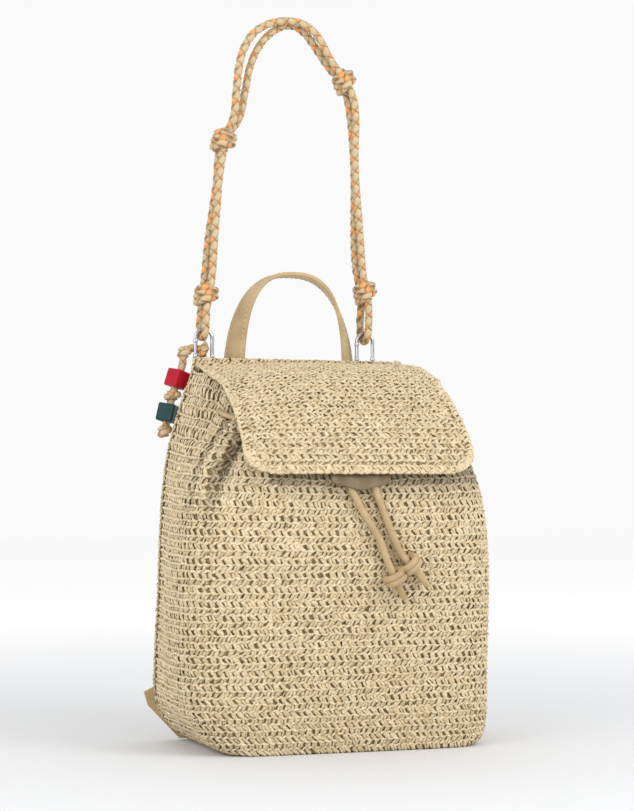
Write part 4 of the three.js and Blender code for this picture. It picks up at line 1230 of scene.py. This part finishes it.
def build_handle():
    turn = np.linspace(0, math.pi, 161)
    rise = HANDLE_APEX_Z - HANDLE_FOOT_Z
    power = 2 / HANDLE_SQUARENESS
    side = -np.sign(np.cos(turn)) * np.abs(np.cos(turn)) ** power
    z = HANDLE_FOOT_Z + rise * np.maximum(np.sin(turn), 0) ** power
    pinch = HANDLE_PINCH * np.maximum(0, 1 - (z - HANDLE_FOOT_Z) / (BAG_HEIGHT - HANDLE_FOOT_Z))
    twist = np.maximum(handle_twist(z), HANDLE_LEG_TWIST)
    rear = BACK_Y + WALL + GAP
    y = rear + np.cos(twist) * HANDLE_WIDTH / 2 + np.sin(twist) * HANDLE_THICKNESS / 2
    raw = np.stack([HANDLE_CENTRE_X + side * (HANDLE_HALF_SPAN - pinch), y, z], 1)
    centre = even_line(raw, 1.6)
    flat = centre * (1, 0, 1)
    tangent = unit(np.gradient(flat, axis=0))
    outward = np.stack([-tangent[:, 2], np.zeros(len(centre)), tangent[:, 0]], 1)
    turned = handle_twist(centre[:, 2])[:, None]
    normal = outward * np.cos(turned) + -BACKWARDS * np.sin(turned)
    across = np.cross(tangent, normal)
    heap = Heap()
    leather_band(heap, centre, across, normal, HANDLE_WIDTH, HANDLE_THICKNESS)
    piece = heap.build("handle_leather", LEATHER)
    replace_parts(piece, "top_handle")
    seams = edge_stitches("handle_stitches", centre, across, normal, HANDLE_WIDTH, HANDLE_THICKNESS)
    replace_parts(seams, "top_handle")


def build_rings():
    for side, x in (("left", RING_LEFT_X), ("right", RING_RIGHT_X)):
        half = (RING_HEIGHT - RING_WIDTH) / 2
        radius = (RING_WIDTH - RING_WIRE) / 2
        angle = np.linspace(0, 2 * math.pi, RING_STEPS, endpoint=False)
        lift = np.where(np.sin(angle) >= 0, half, -half)
        line = np.stack([x + radius * np.cos(angle), np.full(RING_STEPS, RING_Y),
                         RING_TOP_Z - RING_HEIGHT / 2 + radius * np.sin(angle) + lift], 1)
        heap = Heap()
        inward = np.stack([np.cos(angle), np.zeros(RING_STEPS), np.sin(angle)], 1)
        around = np.linspace(0, 2 * math.pi, RING_SIDES, endpoint=False)
        ring = (line[:, None] + RING_WIRE / 2 * (
            inward[:, None] * np.cos(around)[None, :, None]
            + BACKWARDS * np.sin(around)[None, :, None]))
        index = np.arange(RING_STEPS * RING_SIDES).reshape(RING_STEPS, RING_SIDES)
        after = np.roll(index, -1, 0)
        faces = np.stack([index, after, np.roll(after, -1, 1), np.roll(index, -1, 1)], -1).reshape(-1, 4)
        heap.add(ring, [faces])
        for limb, low in ((-1, -half + 1), (-1, half - 4), (1, -half + 1)):
            base = np.array((x + limb * radius, RING_Y, RING_TOP_Z - RING_HEIGHT / 2 + low))
            rise = COLLAR_HEIGHTS[:, None] * UPWARDS
            round_tube(heap, base + rise, RING_WIRE / 2 + COLLAR_RISES, sides=RING_SIDES)
        piece = heap.build(f"ring_wire_{side}", CHROME)
        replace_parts(piece, f"ring_{side}")


def front_y(z):
    front_rise = BODY_SECTIONS[:, 1] * BAG_HEIGHT
    k = np.interp(z, front_rise, np.arange(len(front_rise)))
    return BACK_Y - body_share("depth", k) * BAG_DEPTH


def build_tab():
    bulge = DRAWCORD_DIAMETER + 0.6 + 2 * GAP + TAB_WALL
    u, v = np.meshgrid(np.linspace(0, 1, 61), np.linspace(0, 1, 21), indexing="ij")
    z = TAB_BOTTOM_Z + TAB_LENGTH * v
    out = bulge + (1.7 * TAB_WALL - bulge) * v**1.5
    wave = TAB_WAVE * np.sin(3 * math.pi * u) * (1 - v)
    rounding = TAB_ROUNDING * np.abs(2 * u - 1) ** 7 * (1 - v) ** 2
    fold = TAB_FOLD * np.sin(5 * math.pi * u + 0.6) * (1 - v)
    points = np.stack([TAB_CENTRE_X + TAB_WIDTH * (u - 0.5), front_y(z) - out + fold,
                       z + wave + rounding], -1)
    surface = Surface(points).turned((30, 10), -BACKWARDS)
    # Painted shade: the tab is made in the darker leather of the flap's shadow
    piece = backing("tab_leather", surface, 60, 20, 0.0, TAB_WALL, None, TAB_LEATHER_IN_PAINTED_SHADE)
    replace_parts(piece, "front_tab")


# Front drawcords: route, knot and cut end
DRAWCORDS = {
    "drawcord_left": (
        ((-4, -88, 209.2), (-3.5, -88.5, 206), (3, -88.4, 193), (11, -88.1, 180), (20.5, -87.2, 165),
         (26.5, -86.3, 150), (32, -87, 137.5), (41.5, -83, 120.5)), 6),
    "drawcord_right": (
        ((15, -88, 209.2), (15.5, -88.5, 206), (23.5, -88.2, 186), (32, -87.2, 166.3),
         (38, -86.6, 155), (44.5, -87.6, 147), (61, -84, 130)), 5),
}


def build_drawcords():
    for node, (route, knot_index) in DRAWCORDS.items():
        line = smooth_line(route, 1.0)
        rest = curve_length(line)[-1] - curve_length(line)
        taper = np.interp(rest, (0, 0.6, 1.4, 9), (0.55, 0.8, 0.92, 1.0))
        heap = Heap()
        round_tube(heap, line, DRAWCORD_DIAMETER / 2 * taper, sides=16)
        cord = heap.build(node + "_leather", LEATHER)
        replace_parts(cord, node)
        knot = Heap()
        centre = np.array(route[knot_index], float)
        tail = np.array(route[-1], float)
        lean = math.atan2(tail[0] - centre[0], centre[2] - tail[2])
        rope = DRAWCORD_DIAMETER * 0.95
        coil = coil_line(centre, -lean, DRAW_KNOT_SIZE, DRAW_KNOT_HEIGHT, rope, 1.9, slant=0.45, step=0.7,
                         start=2.2)
        round_tube(knot, coil, rope / 2, sides=14)
        wraps = knot.build(node + "_knot", LEATHER)
        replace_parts(wraps, node)
    u = RIM_START + (1 - 2 * RIM_START) * np.linspace(0, 1, 61)
    heap = Heap()
    round_tube(heap, even_line(mouth_line(u), 2.0), RIM_DIAMETER / 2, sides=12)
    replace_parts(heap.build("rim_drawcord_leather", LEATHER), "rim_drawcord")


def mouth_line(u):
    """Line of the cord round the mouth, outside the gathers."""
    k = RIM_PLACE * (len(BODY_SECTIONS) - 1)
    x, y, ahead = wall_line(k, u)
    out = RIM_DIAMETER / 2 + RIM_LIFT
    return np.stack([x + ahead[:, 1] * out, y - ahead[:, 0] * out, wall_height(k, u)], 1)


def build_shoulder_straps():
    rear = BACK_Y + WALL + GAP
    t = np.linspace(0, 1, 121)
    foot_y = rear + PATCH_WALL + GAP + SHOULDER_WALL / 2
    top_y = rear + SHOULDER_WALL / 2
    for side, sign in (("left", -1), ("right", 1)):
        x = sign * (SHOULDER_TOP_X + (SHOULDER_FOOT_X - SHOULDER_TOP_X) * (0.35 * t + 0.65 * smooth_step(t)))
        bow = np.sin(math.pi * np.clip((t - 0.05) / 0.88, 0, 1)) ** 1.5
        y = top_y + (foot_y - top_y) * t + SHOULDER_BOW * bow
        z = SHOULDER_TOP_Z + (SHOULDER_FOOT_Z - SHOULDER_TOP_Z) * t
        centre = np.stack([x, y, z], 1)
        tangent = unit(np.gradient(centre, axis=0))
        across = unit(np.cross(BACKWARDS, tangent))
        normal = np.cross(tangent, across)
        heap = Heap()
        leather_band(heap, centre, across, normal, SHOULDER_WIDTH, SHOULDER_WALL)
        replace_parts(heap.build(f"shoulder_leather_{side}", LEATHER), f"shoulder_strap_{side}")
        seams = edge_stitches(f"shoulder_stitches_{side}", centre[2:-2], across[2:-2], normal[2:-2],
                              SHOULDER_WIDTH, SHOULDER_WALL)
        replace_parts(seams, f"shoulder_strap_{side}")


def add_studio():
    bpy.ops.mesh.primitive_plane_add(size=FLOOR_SIZE, location=(0, 0, float(ORIGIN[2])))
    floor = bpy.context.object
    floor.name = "floor"
    floor.data.materials.append(floor_material())
    world = bpy.data.worlds.new("studio")
    bpy.context.scene.world = world
    world.use_nodes = True
    background = world.node_tree.nodes["Background"]
    background.inputs["Color"].default_value = (1, 1, 1, 1)
    background.inputs["Strength"].default_value = WORLD_STRENGTH
    for name, place, size, power in LIGHTS:
        data = bpy.data.lights.new(name, "AREA")
        data.size = size * MM
        data.energy = power
        light = bpy.data.objects.new(name, data)
        bpy.context.scene.collection.objects.link(light)
        spot = Vector(to_row(place))
        aim = Vector(to_row(LIGHT_AIM)) - spot
        light.matrix_world = Matrix.Translation(spot) @ aim.to_track_quat("-Z", "Y").to_matrix().to_4x4()
    bpy.context.scene.view_settings.view_transform = "Standard"


SOLID_ROUNDING = 0.35
STAYING_NODES = {
    "ring_tab_left": LEATHER, "ring_tab_right": LEATHER, "corner_patch_left": LEATHER,
    "corner_patch_right": LEATHER, "slide_left": CHROME, "slide_right": CHROME,
}


def dress_nodes():
    """Finishes the solids that stay as they are, with slightly rounded edges."""
    for name, material in STAYING_NODES.items():
        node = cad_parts[name]
        node.data.materials.clear()
        node.data.materials.append(material)
        rounding = node.modifiers.new("rounding", "BEVEL")
        rounding.width = SOLID_ROUNDING * MM
        rounding.segments = 2


add_camera()
build_strap()
build_drawcords()
build_body()
build_back_panel()
build_base()
build_flap()
build_handle()
build_rings()
build_tab()
build_shoulder_straps()
dress_nodes()
add_studio()
